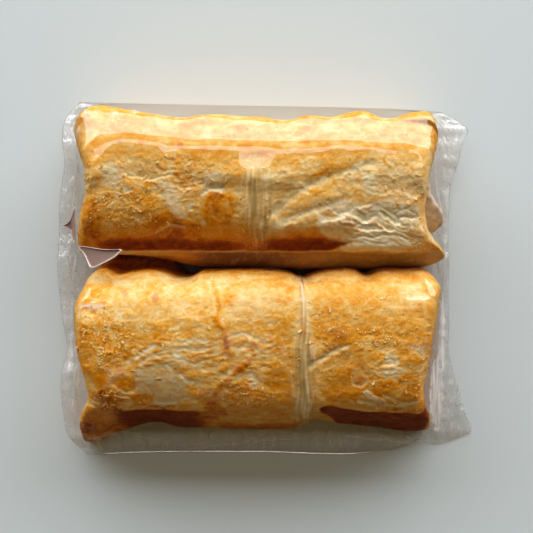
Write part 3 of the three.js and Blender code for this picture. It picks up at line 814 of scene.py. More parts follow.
class Crust:
    """A roll's crust: its relief in millimetres and the shares that colour it, at each point of a grid."""

    def __init__(self, roll, grid):
        self.roll = roll
        self.seed = roll["seed"]
        self.rows = grid.shape[:2]
        self.flat = grid.reshape(-1, 3)
        self.x, self.y, self.z = self.flat.T
        self.patch = patch_shares(self.x, self.y, roll["patches"], self.seed)
        self.leaf_relief, marks, self.rim = leaf_marks(*self.flat.T, roll["leaves"], self.seed + 200)
        self.white, self.cream, self.olive, self.pink, self.darker, smooth = marks
        self.calm = roll["calm"](self.x, self.y)
        self.groove = roll["groove"](self.x, self.y)
        shiny = 0.5 * self.patch["olive"] + 0.6 * self.patch["amber"] * (1 - self.patch["crumb"])
        self.smooth = np.clip(smooth + shiny, 0, 1)
        self.rough = (1 - 0.85 * self.smooth) * (1 - 0.6 * self.groove)
        self.add_wrinkles()
        self.add_flakes()
        self.draw_lines()
        self.raise_relief()
        self.brown()
        self.tint()

    def noise_at(self, sizes, step):
        return noise(stretched(self.x, self.y, self.z, *sizes), self.seed + step)

    def add_wrinkles(self):
        """Wrinkles along the roll, pleats across it down the far side, and strands along a groove."""
        bend = 1.8 * noise(self.flat / 9, self.seed + 21)
        drawn = stretched(self.x, self.y + bend, self.z, 6.5, 1.7, 2.4)
        self.wrinkles = 1 - 2 * np.abs(noise(drawn, self.seed + 22))
        self.wrinkled = (0.08 + 0.6 * self.patch["wrinkle"]) * (1 - 0.6 * self.smooth)
        pleated = smoothstep(self.y, self.roll["middle"] + 8, self.roll["far_at"] - 4) * (1 - self.calm)
        self.pleats = self.noise_at((1.3, 9, 9), 23) * pleated
        self.strands = noise(stretched(self.x + 0.4 * bend, self.y, self.z, 1.15, 12, 12), self.seed + 71)

    def add_flakes(self):
        """Broken layers that step down to the near side, and flakes of two sizes on broader plates."""
        flat, seed = self.flat, self.seed
        shift = 2.6 * layered_noise(flat / 8, seed + 31, 2) + 0.7 * noise(flat / 2.2, seed + 32)
        layer = (self.y + 0.30 * self.x + shift) / LAYER_PITCH
        self.layer = layer - np.floor(layer)
        wander = np.stack([noise(flat / 2.6, seed + 33 + k) for k in range(3)], axis=1)
        first, second, self.tile = cell_noise((flat + 1.1 * wander) / TILE_SIZE, seed + 41)
        self.tile_edge = smoothstep(second - first, 0.0, 0.16)
        first, second, self.chip = cell_noise((flat + 0.7 * wander) / CHIP_SIZE, seed + 43)
        self.chip_edge = smoothstep(second - first, 0.0, 0.25)
        plates = 4.5 * layered_noise(stretched(self.x, self.y, self.z, 10, 6.5, 6.5), seed + 45, 3)
        within = plates - np.floor(plates)
        self.plate = np.floor(plates) + smoothstep(within, 0, 0.09)
        self.plate_edge = bell(within - 0.05, 0.07)
        nearest, _, self.crumb_share = cell_noise(flat / CRUMB_SIZE, seed + 51)
        self.crumbs = (0.55 - nearest) * (0.4 + 0.6 * self.crumb_share)

    def draw_lines(self):
        """Ridges and cracks: their relief, how much a place is on either, and their pale cream."""
        self.line_relief, self.on_line, self.line_pale = (np.zeros_like(self.x) for _ in range(3))
        waver = 0.9 * noise(self.flat / 3, self.seed + 81) + 0.5 * noise(self.flat / 1.2, self.seed + 82)
        for points, width, height, pale in self.roll["lines"]:
            turn = min(1, width) * waver
            near_line = trail(self.x + turn, self.y - 0.6 * turn, points, width)
            self.line_relief += height * near_line
            self.on_line += np.sign(height) * near_line
            self.line_pale = np.maximum(self.line_pale, pale * near_line)

    def raise_relief(self):
        """The crust's height over the plain form, and how far each place stands above those round it."""
        flat, seed, patch = self.flat, self.seed, self.patch
        relief = 0.5 * layered_noise(flat / 19, seed, 2) + 0.15 * layered_noise(flat / 6.5, seed + 11, 2)
        relief += self.wrinkled * 0.3 * (self.wrinkles - 0.3) + 0.12 * self.pleats
        relief += patch["leaves"] * 0.9 * (smoothstep(self.layer, 0.0, 0.2) * (1 - self.layer) - 0.3)
        tiles = 0.24 * (self.tile - 0.45) * self.tile_edge
        chips = 0.2 * (self.chip - 0.4) * self.chip_edge
        relief += self.rough * (tiles + chips + 0.1 * self.plate)
        crumbs = (0.05 + 0.3 * patch["crumb"]) * self.crumbs
        relief += (crumbs + 0.05 * noise(flat / 0.9, seed + 61)) * (1 - 0.5 * self.smooth)
        relief += 0.85 * self.leaf_relief + 0.08 * self.rim
        relief += self.groove * (0.45 * self.strands - 1.0) + self.line_relief
        relief *= 1 - 0.6 * self.calm
        self.proud = relief - blurred(relief.reshape(self.rows), PROUD_REACH).ravel()
        self.relief = relief * smoothstep(self.z, 3, 9)

    def brown(self):
        """Browning, 0 to 1: high and thin places painted paler as highlight, hollows deeper as painted shade.
        """
        roll, x, y, patch = self.roll, self.x, self.y, self.patch
        # Painted shade: the near slope and the crown are made browner and darker.
        near_side = smoothstep(-y, -roll["foot_at"] - 22, -roll["foot_at"] - 11)
        crown = bell(y - roll["middle"] - 4, 11)
        bake = roll["bake"] + roll["near_slope"] * near_side + roll["crown"] * crown
        bake += 0.10 * noise(self.flat / 12, self.seed + 91) + 0.09 * noise(self.flat / 4.5, self.seed + 92)
        bake += self.calm * (0.03 + 0.2 * self.noise_at((7, 3, 3), 95))
        bake += 0.05 * smoothstep(y, roll["middle"] + 6, roll["far_at"]) + 0.05 * self.pleats
        # Painted light: the far slope, turned to the window, is made paler.
        far_slope = smoothstep(y, roll["middle"] + 4, roll["far_at"] - 6) * (1 - 0.6 * smoothstep(x, -30, 10))
        bake -= roll["pale_slope"] * far_slope
        tile, chip = self.tile - 0.5, self.chip - 0.5
        bake += self.rough * (0.16 * tile + 0.14 * chip - 0.07 * (1 - self.tile_edge))
        bake -= 0.14 * np.clip(self.wrinkles, -1, 1) * self.wrinkled + 0.08 * self.plate_edge * self.rough
        bake += 0.15 * patch["amber"] + 0.5 * patch["burnt"] + self.darker
        bake += 0.16 * np.clip(-self.on_line, 0, 1) - 0.10 * np.clip(self.on_line, 0, 1)
        bake += patch["crumb"] * (0.16 * (self.crumb_share - 0.45) - 0.2 * self.crumbs)
        # Painted highlight on places that stand proud, and painted shade in hollows.
        bake -= 0.32 * np.clip(self.proud / 0.5, -0.8, 0.8) * (1 - 0.6 * self.smooth)
        self.bake = bake

    def tint(self):
        """Shares of cream, white, olive and pink over the browning."""
        patch, groove, layer, strands = self.patch, self.groove, self.layer, self.strands
        self.cream += patch["cream"] * (0.7 + 0.6 * noise(self.flat / 2.2, self.seed + 93))
        # The flakes' rims are paled with cream and white, partly as painted highlight.
        self.cream += 0.2 * self.rim + 0.7 * self.line_pale
        lifted = smoothstep(self.tile, 0.62, 0.66) * (1 - self.tile_edge) * self.rough
        self.cream += 0.45 * patch["leaves"] * smoothstep(-layer, -0.3, 0.0) + 0.2 * lifted
        self.cream += groove * np.clip(0.15 - 0.9 * strands, 0, 0.6)
        self.cream += 0.5 * patch["wrinkle"] * np.clip(self.wrinkles - 0.35, 0, 1)
        self.white += 0.5 * patch["leaves"] * smoothstep(-layer, -0.16, 0.0)
        self.white += 0.1 * self.rim + 0.7 * self.line_pale + groove * np.clip(-0.1 - 0.9 * strands, 0, 0.35)
        self.olive += patch["olive"] * (0.75 + 0.6 * self.noise_at((4, 1.8, 1.8), 94))
        self.olive += groove * np.clip(0.25 + 0.9 * strands, 0, 0.8) + self.roll["dull"](self.x, self.y)
        self.pink += patch["red"]

    def attributes(self):
        """The shares that the pastry's material and the loose bits read, with the dark strip and the lip."""
        roll, x, y, z = self.roll, self.x, self.y, self.z
        level = z - roll["crest"](x, y)
        # The dark strip is browning, darkened further with painted shade on the side turned from the window.
        dark = roll["strip"](x, y, level)
        uneven = 0.5 + 0.5 * noise(stretched(x, y, z, 5, 2, 2), 15)
        bake = self.bake + dark * (roll["dark"] + (1 - roll["dark"]) * uneven - self.bake)
        below = smoothstep(-level, -roll["lip_top"], -roll["lip_top"] + 1.4)
        lip = below * smoothstep(-y, -roll["middle"], -roll["foot_at"] - 9)
        lip_bake = through(roll["lip"], x) + 0.14 * noise(stretched(x, y, z, 9, 2, 1.2), 5)
        bake = bake + lip * (lip_bake - bake)
        # Painted shade: darker low on the far roll's near foot, and on the near roll's far foot between the
        # rolls.
        bake = bake + roll["deep_foot"] * lip * smoothstep(-z, -23, -15)
        bake = bake + roll["dark_gap"] * smoothstep(y, 0.5, 2.5) * smoothstep(-z, -30, -24)
        seam = 0.8 * bell(level - roll["lip_top"] + 0.4, 0.45) * smoothstep(-y, -16, -13)
        seam = seam * smoothstep(y, 4, 6) * (0.6 + 0.6 * noise(stretched(x, y, z, 4, 1, 1), 6))
        crumb = self.patch["crumb"]
        shares = dict(
            bake=bake,
            white=self.white * (1 - dark),
            cream=self.cream * (1 - dark) + 0.04 * lip + seam,
            olive=self.olive * (1 - dark) + (0.26 + 0.18 * smoothstep(x, -6, 15)) * lip,
            pink=self.pink,
            gloss=0.3 + 0.5 * self.smooth + 0.3 * dark - 0.4 * crumb,
            crumb=crumb,
            strewn=np.clip(0.05 + crumb, 0, 1) * smoothstep(z, 30, 36) * (1 - dark) * (1 - self.calm),
        )
        return {name: np.clip(values, 0, 1) for name, values in shares.items()}


def make_roll(roll, material):
    grid = roll_grid(roll)
    rings, around = grid.shape[:2]
    crust = Crust(roll, grid)
    shown = np.zeros((rings, around))
    shown[2:-2, :RING_TOP] = 1
    lift = crust.relief.reshape(rings, around) * shown
    shaped = grid + grid_normals(grid) * lift[..., None]
    shaped[..., 2] = np.maximum(shaped[..., 2], BASE_HEIGHT)
    name = roll["name"] + "_pastry"
    faces = capped_faces(rings, around)
    return point_outwards(make_piece(name, shaped.reshape(-1, 3), faces, material, crust.attributes()))


# ---------------------------------------------------------------- the meat

MEAT_AROUND = 120
MEAT_RINGS = 90
MEAT_FIT = 0.985  # the meat's size against the hollow that it lies in
MEAT_END = 0.02  # share of its length over which each end is rounded off
TONGUE_STARTS = 0.85


def make_meat(roll, material, seed):
    """The cooked meat that runs through a roll and shows at both its ends."""
    meat = roll["meat"]
    tongue_at, tongue_width, tongue_reach = meat["tongue"]
    angle = np.linspace(0, 2 * np.pi, MEAT_AROUND, endpoint=False)
    size = np.array([meat["half_width"], meat["half_height"]])
    oval = np.stack([np.cos(angle), np.sin(angle)], axis=1) * size * MEAT_FIT
    grid = []
    for along in 0.5 - 0.5 * np.cos(np.pi * np.linspace(0, 1, MEAT_RINGS)):
        to_end = min(along, 1 - along, MEAT_END) / MEAT_END
        across, up = (oval * np.sqrt(1 - (1 - to_end) ** 2)).T
        across = across + meat["y"]
        x = meat["left"] + (meat["right"] - meat["left"]) * along
        x = x + tongue_reach * bell(across - tongue_at, tongue_width) * smoothstep(along, TONGUE_STARTS, 1)
        grid.append(np.stack([x, across, meat["z"] + up], axis=1))
    grid = np.array(grid)
    flat = grid.reshape(-1, 3)
    lumps = (0.5 - cell_noise(flat / 3.2, seed)[0]) * 0.9 + 0.35 * layered_noise(flat / 5, seed + 3)
    shaped = grid + grid_normals(grid) * lumps.reshape(grid.shape[:2])[..., None]
    points = np.concatenate([shaped.reshape(-1, 3), [shaped[0].mean(axis=0)], [shaped[-1].mean(axis=0)]])
    faces = ring_faces(MEAT_RINGS, MEAT_AROUND)
    first, final = len(points) - 2, len(points) - 1
    last = (MEAT_RINGS - 1) * MEAT_AROUND
    for k in range(MEAT_AROUND):
        following = (k + 1) % MEAT_AROUND
        faces.append((first, following, k))
        faces.append((final, last + k, last + following))
    return point_outwards(make_piece(roll["name"] + "_meat", points, faces, material))


# ---------------------------------------------------------------- loose flakes and crumbs

FLAKE_AROUND = 9
FLAKE_THICKNESS = 0.09
CRUMB_AROUND = 6
LARGEST_TILT = 0.35
# Kinds of loose bits, with how many lie on a square metre of the crumbliest crust, and their sizes.
FLAKES = dict(density=9e4, smallest=0.9, largest=2.0)
CRUMBS = dict(density=3e5, smallest=0.3, largest=0.8)


def make_flake(material):
    """One small curled flake of pastry: a thin closed leaf with an uneven outline."""
    angle = np.linspace(0, 2 * np.pi, FLAKE_AROUND, endpoint=False)
    reach = 0.5 + 0.16 * np.sin(2 * angle + 0.7) + 0.1 * np.sin(3 * angle + 2.1)
    rings = []
    for share, side in ((0.55, 1), (1.0, 1), (1.0, -1), (0.55, -1)):
        px, py = share * reach * np.cos(angle), 0.75 * share * reach * np.sin(angle)
        rings.append(np.column_stack([px, py, 0.35 * px ** 2 + 0.1 * py + side * FLAKE_THICKNESS / 2]))
    faces = capped_faces(len(rings), FLAKE_AROUND)
    return point_outwards(make_piece("flake_shape", np.concatenate(rings), faces, material))


def make_crumb(material):
    """One crumb: a small lump with uneven sides."""
    angle = np.linspace(0, 2 * np.pi, CRUMB_AROUND, endpoint=False)
    rings = []
    for reach, z in ((0.22, -0.3), (0.46, -0.12), (0.42, 0.12), (0.18, 0.3)):
        uneven = reach * (1 + 0.25 * np.sin(2 * angle + 9 * z))
        rings.append(np.column_stack([uneven * np.cos(angle), 0.8 * uneven * np.sin(angle), z + 0 * angle]))
    faces = capped_faces(len(rings), CRUMB_AROUND)
    return point_outwards(make_piece("crumb_shape", np.concatenate(rings), faces, material))


def scatter_tree(material):
    """Node tree that strews a shape over a surface, denser where the surface's strewn share is high."""
    tree = bpy.data.node_groups.new("strewn_over_crust", "GeometryNodeTree")
    face = tree.interface
    face.new_socket("Geometry", in_out="INPUT", socket_type="NodeSocketGeometry")
    for name, kind in (("Surface", "Object"), ("Shape", "Object"), ("Density", "Float"), ("Seed", "Int"),
                       ("Smallest", "Float"), ("Largest", "Float")):
        face.new_socket(name, in_out="INPUT", socket_type="NodeSocket" + kind)
    face.new_socket("Geometry", in_out="OUTPUT", socket_type="NodeSocketGeometry")

    def node(kind, inputs=None, **settings):
        made = tree.nodes.new(kind)
        for key, value in settings.items():
            setattr(made, key, value)
        for key, value in (inputs or {}).items():
            if isinstance(value, bpy.types.NodeSocket):
                tree.links.new(value, made.inputs[key])
            else:
                made.inputs[key].default_value = value
        return made.outputs

    given = node("NodeGroupInput")
    surface = node("GeometryNodeObjectInfo", {"Object": given["Surface"]})
    shape = node("GeometryNodeObjectInfo", {"Object": given["Shape"]})
    crumbly = node("GeometryNodeInputNamedAttribute", {"Name": "strewn"}, data_type="FLOAT")
    density = node("ShaderNodeMath", {0: crumbly["Attribute"], 1: given["Density"]}, operation="MULTIPLY")
    points = node("GeometryNodeDistributePointsOnFaces", {
        "Mesh": surface["Geometry"], "Density": density[0], "Seed": given["Seed"],
    }, distribute_method="RANDOM")
    turn = node("FunctionNodeRandomValue", {
        0: (-LARGEST_TILT, -LARGEST_TILT, 0), 1: (LARGEST_TILT, LARGEST_TILT, 2 * np.pi),
        "Seed": given["Seed"],
    }, data_type="FLOAT_VECTOR")
    turned = node("FunctionNodeRotateRotation", {
        "Rotation": points["Rotation"], "Rotate By": turn[0],
    }, rotation_space="LOCAL")
    size = node("FunctionNodeRandomValue", {
        2: given["Smallest"], 3: given["Largest"], "Seed": given["Seed"],
    }, data_type="FLOAT")
    placed = node("GeometryNodeInstanceOnPoints", {
        "Points": points["Points"], "Instance": shape["Geometry"], "Rotation": turned["Rotation"],
        "Scale": size[1],
    })
    real = node("GeometryNodeRealizeInstances", {"Geometry": placed["Instances"]})
    dressed = node("GeometryNodeSetMaterial", {"Geometry": real["Geometry"], "Material": material})
    node("NodeGroupOutput", {"Geometry": dressed["Geometry"]})
    return tree


def strew(name, tree, surface, shape, bits, material, seed):
    """A mesh of one kind of loose bit lying all over a roll's crust."""
    carrier = make_piece(name, np.zeros((0, 3)), [], material)
    modifier = carrier.modifiers.new("strewn", "NODES")
    modifier.node_group = tree
    values = {"Surface": surface, "Shape": shape, "Density": float(bits["density"]), "Seed": seed,
              "Smallest": bits["smallest"], "Largest": bits["largest"]}
    for socket in tree.interface.items_tree:
        if socket.in_out == "INPUT" and socket.name in values:
            modifier[socket.identifier] = values[socket.name]
    graph = bpy.context.evaluated_depsgraph_get()
    plain = bpy.data.meshes.new_from_object(carrier.evaluated_get(graph))
    carrier.modifiers.remove(modifier)
    carrier.data = plain
    plain.name = name
    return carrier


# ---------------------------------------------------------------- the film

# The bag's edges: X at each share of its width from the near side, and Y at each share of its length.
LEFT_EDGE = [
    (0, -79), (0.03, -82.5), (0.07, -86), (0.14, -88.2), (0.24, -88.3), (0.3, -86.8), (0.42, -89),
    (0.5, -90), (0.64, -90), (0.76, -89), (0.81, -87.4), (0.94, -87.4), (0.98, -84.5), (1, -82.5),
]
RIGHT_EDGE = [
    (0, 85), (0.015, 90), (0.06, 88), (0.125, 85), (0.2, 81.5), (0.25, 79.8), (0.35, 79.6), (0.5, 79.2),
    (0.7, 79.6), (0.765, 80.2), (0.85, 83.8), (0.9, 85.2), (0.94, 87.5), (0.965, 84.5), (1, 77.5),
]
NEAR_EDGE = [
    (0, -78), (0.16, -76.8), (0.45, -76.6), (0.78, -76.5), (0.83, -75.2), (0.88, -71.4), (0.93, -73.6),
    (1, -70),
]
FAR_EDGE = [(0, 77.9), (0.3, 76.8), (0.6, 76), (0.9, 74.6), (1, 73.5)]
PACK_HALF_LENGTH = 90
PACK_HALF_WIDTH = 78
SEAL_THICKNESS = 0.5
SEAL_HEIGHT_LEFT = 7
SEAL_HEIGHT_RIGHT = 5
SEAL_WIDTH_LEFT = 4.5
SEAL_START_RIGHT = 76.5
SEAL_RISE = 7
EAR_HEIGHT = 1.8
EAR_SHARE = 0.3  # share of the width over which the right seal sinks to its near ear
CORNER_SHARE = 0.06
CRIMP_PITCH = 7
CRIMP_DEPTH = 0.15
FILM_COLUMNS = 230
FILM_ROWS = 200
FILM_GAP = 0.25  # how far the film stands off what it lies on
FILM_SAG = 0.003
FILM_APART = 0.05  # the least distance between the top and the bottom film
FILM_LOWEST = 0.02
WRAP_PULL = 3.0  # the film is drawn tighter round the rolls than along them
OVERSHOOT = 1.9  # how far past the mean of its neighbours a point moves, so that the film settles soon
COARSE_PASSES, FINE_PASSES = 500, 300
BRIDGED_ABOVE = 20  # the height above which the film bridges small bumps
BRIDGE_REACH = 2
BRIDGE_LIFT = 0.8
LIP_HEIGHTS = (0.62, 0.52, 0.42, 0.32)  # the fold along the near foot of the film turns up a little
# share of white painted as a highlight along the fold at the near foot of the film
FOLD_WHITE = 0.9
# Where the film is crumpled most, as (X, Y, reach, strength).
CRUMPLED = [
    (-85, -36, 7, 0.8), (-84, -57, 8, 1), (-87, 12, 6, 0.6), (-84, 62, 10, 0.5), (80, 65, 7, 0.55),
    (85, 60, 6, 0.5), (82, 44, 8, 0.7), (80, 25, 9, 0.6), (83, -67, 8, 1), (79, -30, 12, 0.6),
    (80, -50, 8, 0.8), (77, 5, 10, 0.3),
]
# Creases of the film, as (points, width, share of white, which is partly milky fold and partly painted
# reflection).
CREASES = [
    ([(-60, -64), (-52, -67.5), (-47, -71)], 0.5, 0.35),
    ([(-52, -64), (-48, -72)], 0.4, 0.3),
    ([(-44, -76), (-20, -72.5), (0, -69), (14, -68)], 0.6, 0.4),
    ([(0, -72), (30, -71), (52, -75)], 0.5, 0.3),
    ([(34, -66), (50, -69), (66, -72)], 0.7, 0.5),
    ([(48, -66), (58, -73)], 0.5, 0.4),
    ([(60, -67), (70, -77)], 0.5, 0.5),
    ([(66, 50), (70, 40), (72, 28), (74, 14), (75, 2)], 0.5, 0.5),
    ([(74, 68), (77, 50), (79, 30)], 0.5, 0.4),
    ([(-74, 60), (-79, 44), (-81, 28)], 0.5, 0.4),
    ([(-83, 20), (-78, 17), (-76, 13)], 0.5, 0.4),
    ([(-78, 10), (-84, -12), (-85, -40)], 0.6, 0.4),
    ([(-80, -34), (-83, -56)], 0.5, 0.5),
    ([(75, -6), (77, -24), (76, -40)], 0.8, 0.6),
    ([(72, -42), (75, -58)], 0.9, 0.6),
    ([(-73.7, 67.6), (-70.8, 65.6)], 0.3, 0.6),
    ([(-61, 66.6), (-59.4, 65.6)], 0.3, 0.6),
    ([(-53.9, 67.4), (-51.4, 65.9)], 0.3, 0.6),
    ([(-71.6, -9.6), (-67.5, -10.1), (-64, -10.2)], 0.5, 0.6),
    ([(-72.6, -9.8), (-72.9, -13.6)], 0.3, 0.5),
]
# Where the film lies folded and milky, as (X, Y, half length, half width, turn, share of white).
MILKY = [
    (72.5, -49, 17, 4.8, 97, 0.75), (75, -22, 16, 2.8, 92, 0.55), (80, 40, 22, 3.5, 84, 0.28),
    (84, 58, 6, 5, 0, 0.15), (82, -68, 7, 5, 0, 0.25), (-5, -71, 88, 7, 0, 0.3),
    (-86, -20, 30, 2.6, 90, 0.2), (-84, 52, 20, 2.6, 94, 0.2),
]


def film_outline(u, v):
    """Places on the bag from the shares of its length and width."""
    left, right = through(LEFT_EDGE, v), through(RIGHT_EDGE, v)
    near, far = through(NEAR_EDGE, u), through(FAR_EDGE, u)
    return left + (right - left) * u, near + (far - near) * v


def into_seal(x, v):
    """How far a place is on the rise to a seal: 0 where the rise starts and 1 where the seal does."""
    left_width = SEAL_WIDTH_LEFT + 1.3 * np.sin(31 * v + 1) + 0.7 * np.sin(73 * v)
    short = np.where(x < 0, x - through(LEFT_EDGE, v) - left_width, SEAL_START_RIGHT - x)
    return 1 - short / SEAL_RISE


def seal_height(x, y, v):
    """Height of a seal's middle, crimped along it and low at its corners."""
    right = EAR_HEIGHT + (SEAL_HEIGHT_RIGHT - EAR_HEIGHT) * smoothstep(v, 0, EAR_SHARE)
    level = np.where(x < 0, SEAL_HEIGHT_LEFT, right)
    at_corner = smoothstep(v, 0, CORNER_SHARE) * smoothstep(1 - v, 0, CORNER_SHARE)
    crimp = np.minimum(CRIMP_DEPTH, level - SEAL_THICKNESS) * np.sin(y / CRIMP_PITCH * 2 * np.pi)
    waver = 0.16 * level * (np.sin(y / 8.3 + 1) + 0.6 * np.sin(y / 3.9))
    return SEAL_THICKNESS / 2 + (level - SEAL_THICKNESS / 2 + crimp + waver) * at_corner


def contents_height(pieces, x, y):
    """Height of the tops of what is in the bag, under each place."""
    graph = bpy.context.evaluated_depsgraph_get()
    trees = [BVHTree.FromObject(piece, graph) for piece in pieces]
    heights = [max(height_at(tree, *place) or 0 for tree in trees) for place in zip(x.ravel(), y.ravel())]
    return np.array(heights, float).reshape(x.shape)


def round_each(values, reach):
    """A grid's values shifted over every step within reach, with its edges repeated."""
    padded = np.pad(values, reach, mode="edge")
    rows, columns = values.shape
    steps = range(2 * reach + 1)
    return [padded[i:i + rows, j:j + columns] for i in steps for j in steps]


def draped(heights):
    """Heights with the finest bumps bridged, as a stiff film bridges them."""
    highest = np.max(round_each(heights, BRIDGE_REACH), axis=0)
    for _ in range(2):
        shifted = round_each(highest, BRIDGE_REACH)
        highest = sum(shifted) / len(shifted)
    bridged = np.maximum(heights, np.minimum(highest, heights + BRIDGE_LIFT))
    return np.where(heights > BRIDGED_ABOVE, bridged, heights)


def relax_film(start, floor, held, step_x, step_y, passes):
    """A taut film: every free point moves past the mean of its neighbours, but never below the floor."""
    z = start.copy()
    wx, wy = 1 / step_x ** 2, WRAP_PULL / step_y ** 2
    rows, columns = np.indices(z.shape)
    inner = ~held
    inner[0, :] = inner[-1, :] = inner[:, 0] = inner[:, -1] = False
    colours = [inner & ((rows + columns) % 2 == c) for c in (0, 1)]
    for _ in range(passes):
        for colour in colours:
            pull = np.zeros_like(z)
            pull[1:-1, 1:-1] = wx * (z[1:-1, :-2] + z[1:-1, 2:]) + wy * (z[:-2, 1:-1] + z[2:, 1:-1])
            taut = (pull - FILM_SAG) / (2 * (wx + wy))
            z = np.where(colour, np.maximum(floor, z + OVERSHOOT * (taut - z)), z)
    return z


def taut_film(x, y, v, floor, edge):
    """Heights of the top film, sealed at both ends and drawn over the rolls, first on every second point."""
    sealed = into_seal(x, v) >= 1
    at_fold = (v == 0) | (v == 1)
    seal_top = seal_height(x, y, v) + np.where(edge, 0, SEAL_THICKNESS / 2)
    held = edge | sealed
    start = np.where(held, np.where(sealed & ~at_fold, seal_top, 0), floor)
    step_x, step_y = 2 * PACK_HALF_LENGTH / FILM_COLUMNS, 2 * PACK_HALF_WIDTH / FILM_ROWS
    coarse = (slice(None, None, 2), slice(None, None, 2))
    every_second = [grid[coarse] for grid in (start, floor, held)]
    grown = start.copy()
    grown[coarse] = relax_film(*every_second, 2 * step_x, 2 * step_y, COARSE_PASSES)
    grown[1::2, ::2] = (grown[:-1:2, ::2] + grown[2::2, ::2]) / 2
    grown[:, 1::2] = (grown[:, :-1:2] + grown[:, 2::2]) / 2
    begin = np.where(held, start, np.maximum(grown, floor))
    return relax_film(begin, floor, held, step_x, step_y, FINE_PASSES)


def film_noise(x, y, size_x, size_y, seed, level=0.0):
    return noise(stretched(x, y, np.full_like(x, level), size_x, size_y, 1), seed)


def film_crinkles(x, y):
    """Where the film is crinkled, 0 to 1, how far the crinkles lift it, and how white its creases are."""
    shape = x.shape
    x, y = x.ravel(), y.ravel()
    ends = np.maximum(smoothstep(-x, 75, 83), smoothstep(x, 70, 76))
    walls = np.maximum(smoothstep(-y, 62, 68), smoothstep(y, 69, 73))
    pleats = film_noise(x, y, 11, 3.4, 901, 0.5) + 0.5 * film_noise(x, y, 5, 1.7, 902, 0.5)
    lean = film_noise(x / 4 + y / 14, y, 1, 16, 906)
    crumple = 1 - 2.4 * np.abs(film_noise(x, y, 4.2, 4.2, 903))
    crumple = crumple + 0.6 * (1 - 2.4 * np.abs(film_noise(x, y, 2.1, 2.1, 904)))
    crumpled = np.zeros_like(x)
    for px, py, reach, strength in CRUMPLED:
        crumpled = np.maximum(crumpled, strength * bell(np.hypot(x - px, y - py), reach))
    lift = ends * (0.35 * pleats + 0.5 * lean) + 0.42 * (crumpled + 0.15 * ends) * crumple
    lift = lift + 0.5 * walls * film_noise(x, y, 26, 4.5, 905) * (1 - ends)
    white = np.zeros_like(x)
    wander = 0.8 * film_noise(x, y, 5, 5, 907)
    # Creases are painted white, partly as milky fold and partly as painted reflection.
    for points, width, share in CREASES:
        crease = trail(x + wander, y + wander, points, width)
        lift = lift + 0.45 * crease
        white = np.maximum(white, share * crease)
    strands = np.clip(0.65 + 0.9 * film_noise(x / 1.6 + 0.4 * lean, y, 1, 13, 908), 0.1, 1)
    for *oval, milkiness in MILKY:
        white = np.maximum(white, milkiness * blot(x, y, oval, 0.4, 909) * strands)
    share = np.maximum(ends * (0.4 + 0.6 * np.abs(pleats + lean)), crumpled * (0.5 + 0.5 * crumple))
    return tuple(values.reshape(shape) for values in (np.clip(share, 0, 1), lift, white))


def with_lip_rows(values):
    """A grid with narrow rows between its first two, for the fold along the near foot of the film."""
    values = np.asarray(values)
    share = np.linspace(0, 1, len(LIP_HEIGHTS))[1:-1, None]
    rows = values[:1] * (1 - share) + values[1:2] * share
    return np.concatenate([values[:1], rows.astype(values.dtype), values[1:]])


def fold_line(x, v):
    """Painted white highlight along the fold at the near foot of the film."""
    along = 0.45 + 0.55 * smoothstep(x, -34, -14)
    ending = smoothstep(x, -76, -70) * (1 - smoothstep(x, 52, 56))
    return FOLD_WHITE * smoothstep(-v, -2 / FILM_ROWS, 0) * along * ending


def make_film(pieces, material):
    """The sealed bag round the rolls: a top and a bottom film, joined all round."""
    u, v = np.meshgrid(np.linspace(0, 1, FILM_COLUMNS + 1), np.linspace(0, 1, FILM_ROWS + 1))
    x, y = film_outline(u, v)
    floor = draped(contents_height(pieces, x, y)) + FILM_GAP
    edge = np.zeros(x.shape, bool)
    edge[0, :] = edge[-1, :] = edge[:, 0] = edge[:, -1] = True
    top = taut_film(x, y, v, floor, edge)
    crinkled, lift, creased = film_crinkles(x, y)
    raised = np.maximum(top + lift * smoothstep(top - floor, 0.0, 2.0), floor)
    top = np.where(edge, top, raised)
    rise = smoothstep(into_seal(x, v), 0, 1)
    bottom = rise * np.maximum(seal_height(x, y, v) - SEAL_THICKNESS / 2, 0) + FILM_APART
    bottom = np.minimum(bottom, top - FILM_APART)
    creased = np.maximum(creased, fold_line(x, v))

    grids = (x, y, top, bottom, edge, crinkled, creased)
    x, y, top, bottom, edge, crinkled, creased = (with_lip_rows(grid) for grid in grids)
    lip = smoothstep(x[0], -80, -70) * (1 - smoothstep(x[0], 52, 60))
    for row, height in enumerate(LIP_HEIGHTS):
        top[row] += (height - top[row]) * lip
    edge[1:len(LIP_HEIGHTS) - 1, 1:-1] = False
    bottom = np.minimum(bottom, top - FILM_APART)
    x = np.clip(x, -PACK_HALF_LENGTH, PACK_HALF_LENGTH)

    index = np.arange(x.size).reshape(x.shape)
    under = index + x.size
    under[edge] = index[edge]
    corners = [
        np.stack([grid[:-1, :-1], grid[:-1, 1:], grid[1:, 1:], grid[1:, :-1]], axis=-1).reshape(-1, 4)
        for grid in (index, under)
    ]
    used, compact = np.unique(np.concatenate([corners[0], corners[1][:, ::-1]]), return_inverse=True)
    points = np.concatenate([np.stack([x, y, z], axis=-1).reshape(-1, 3) for z in (top, bottom)])[used]
    points[:, 2] = np.maximum(points[:, 2], FILM_LOWEST)
    shares = {"crinkle": crinkled, "crease": creased}
    shares = {name: np.tile(share.ravel(), 2)[used] for name, share in shares.items()}
    return make_piece("clear_film_bag", points, compact.reshape(-1, 4).tolist(), material, shares)


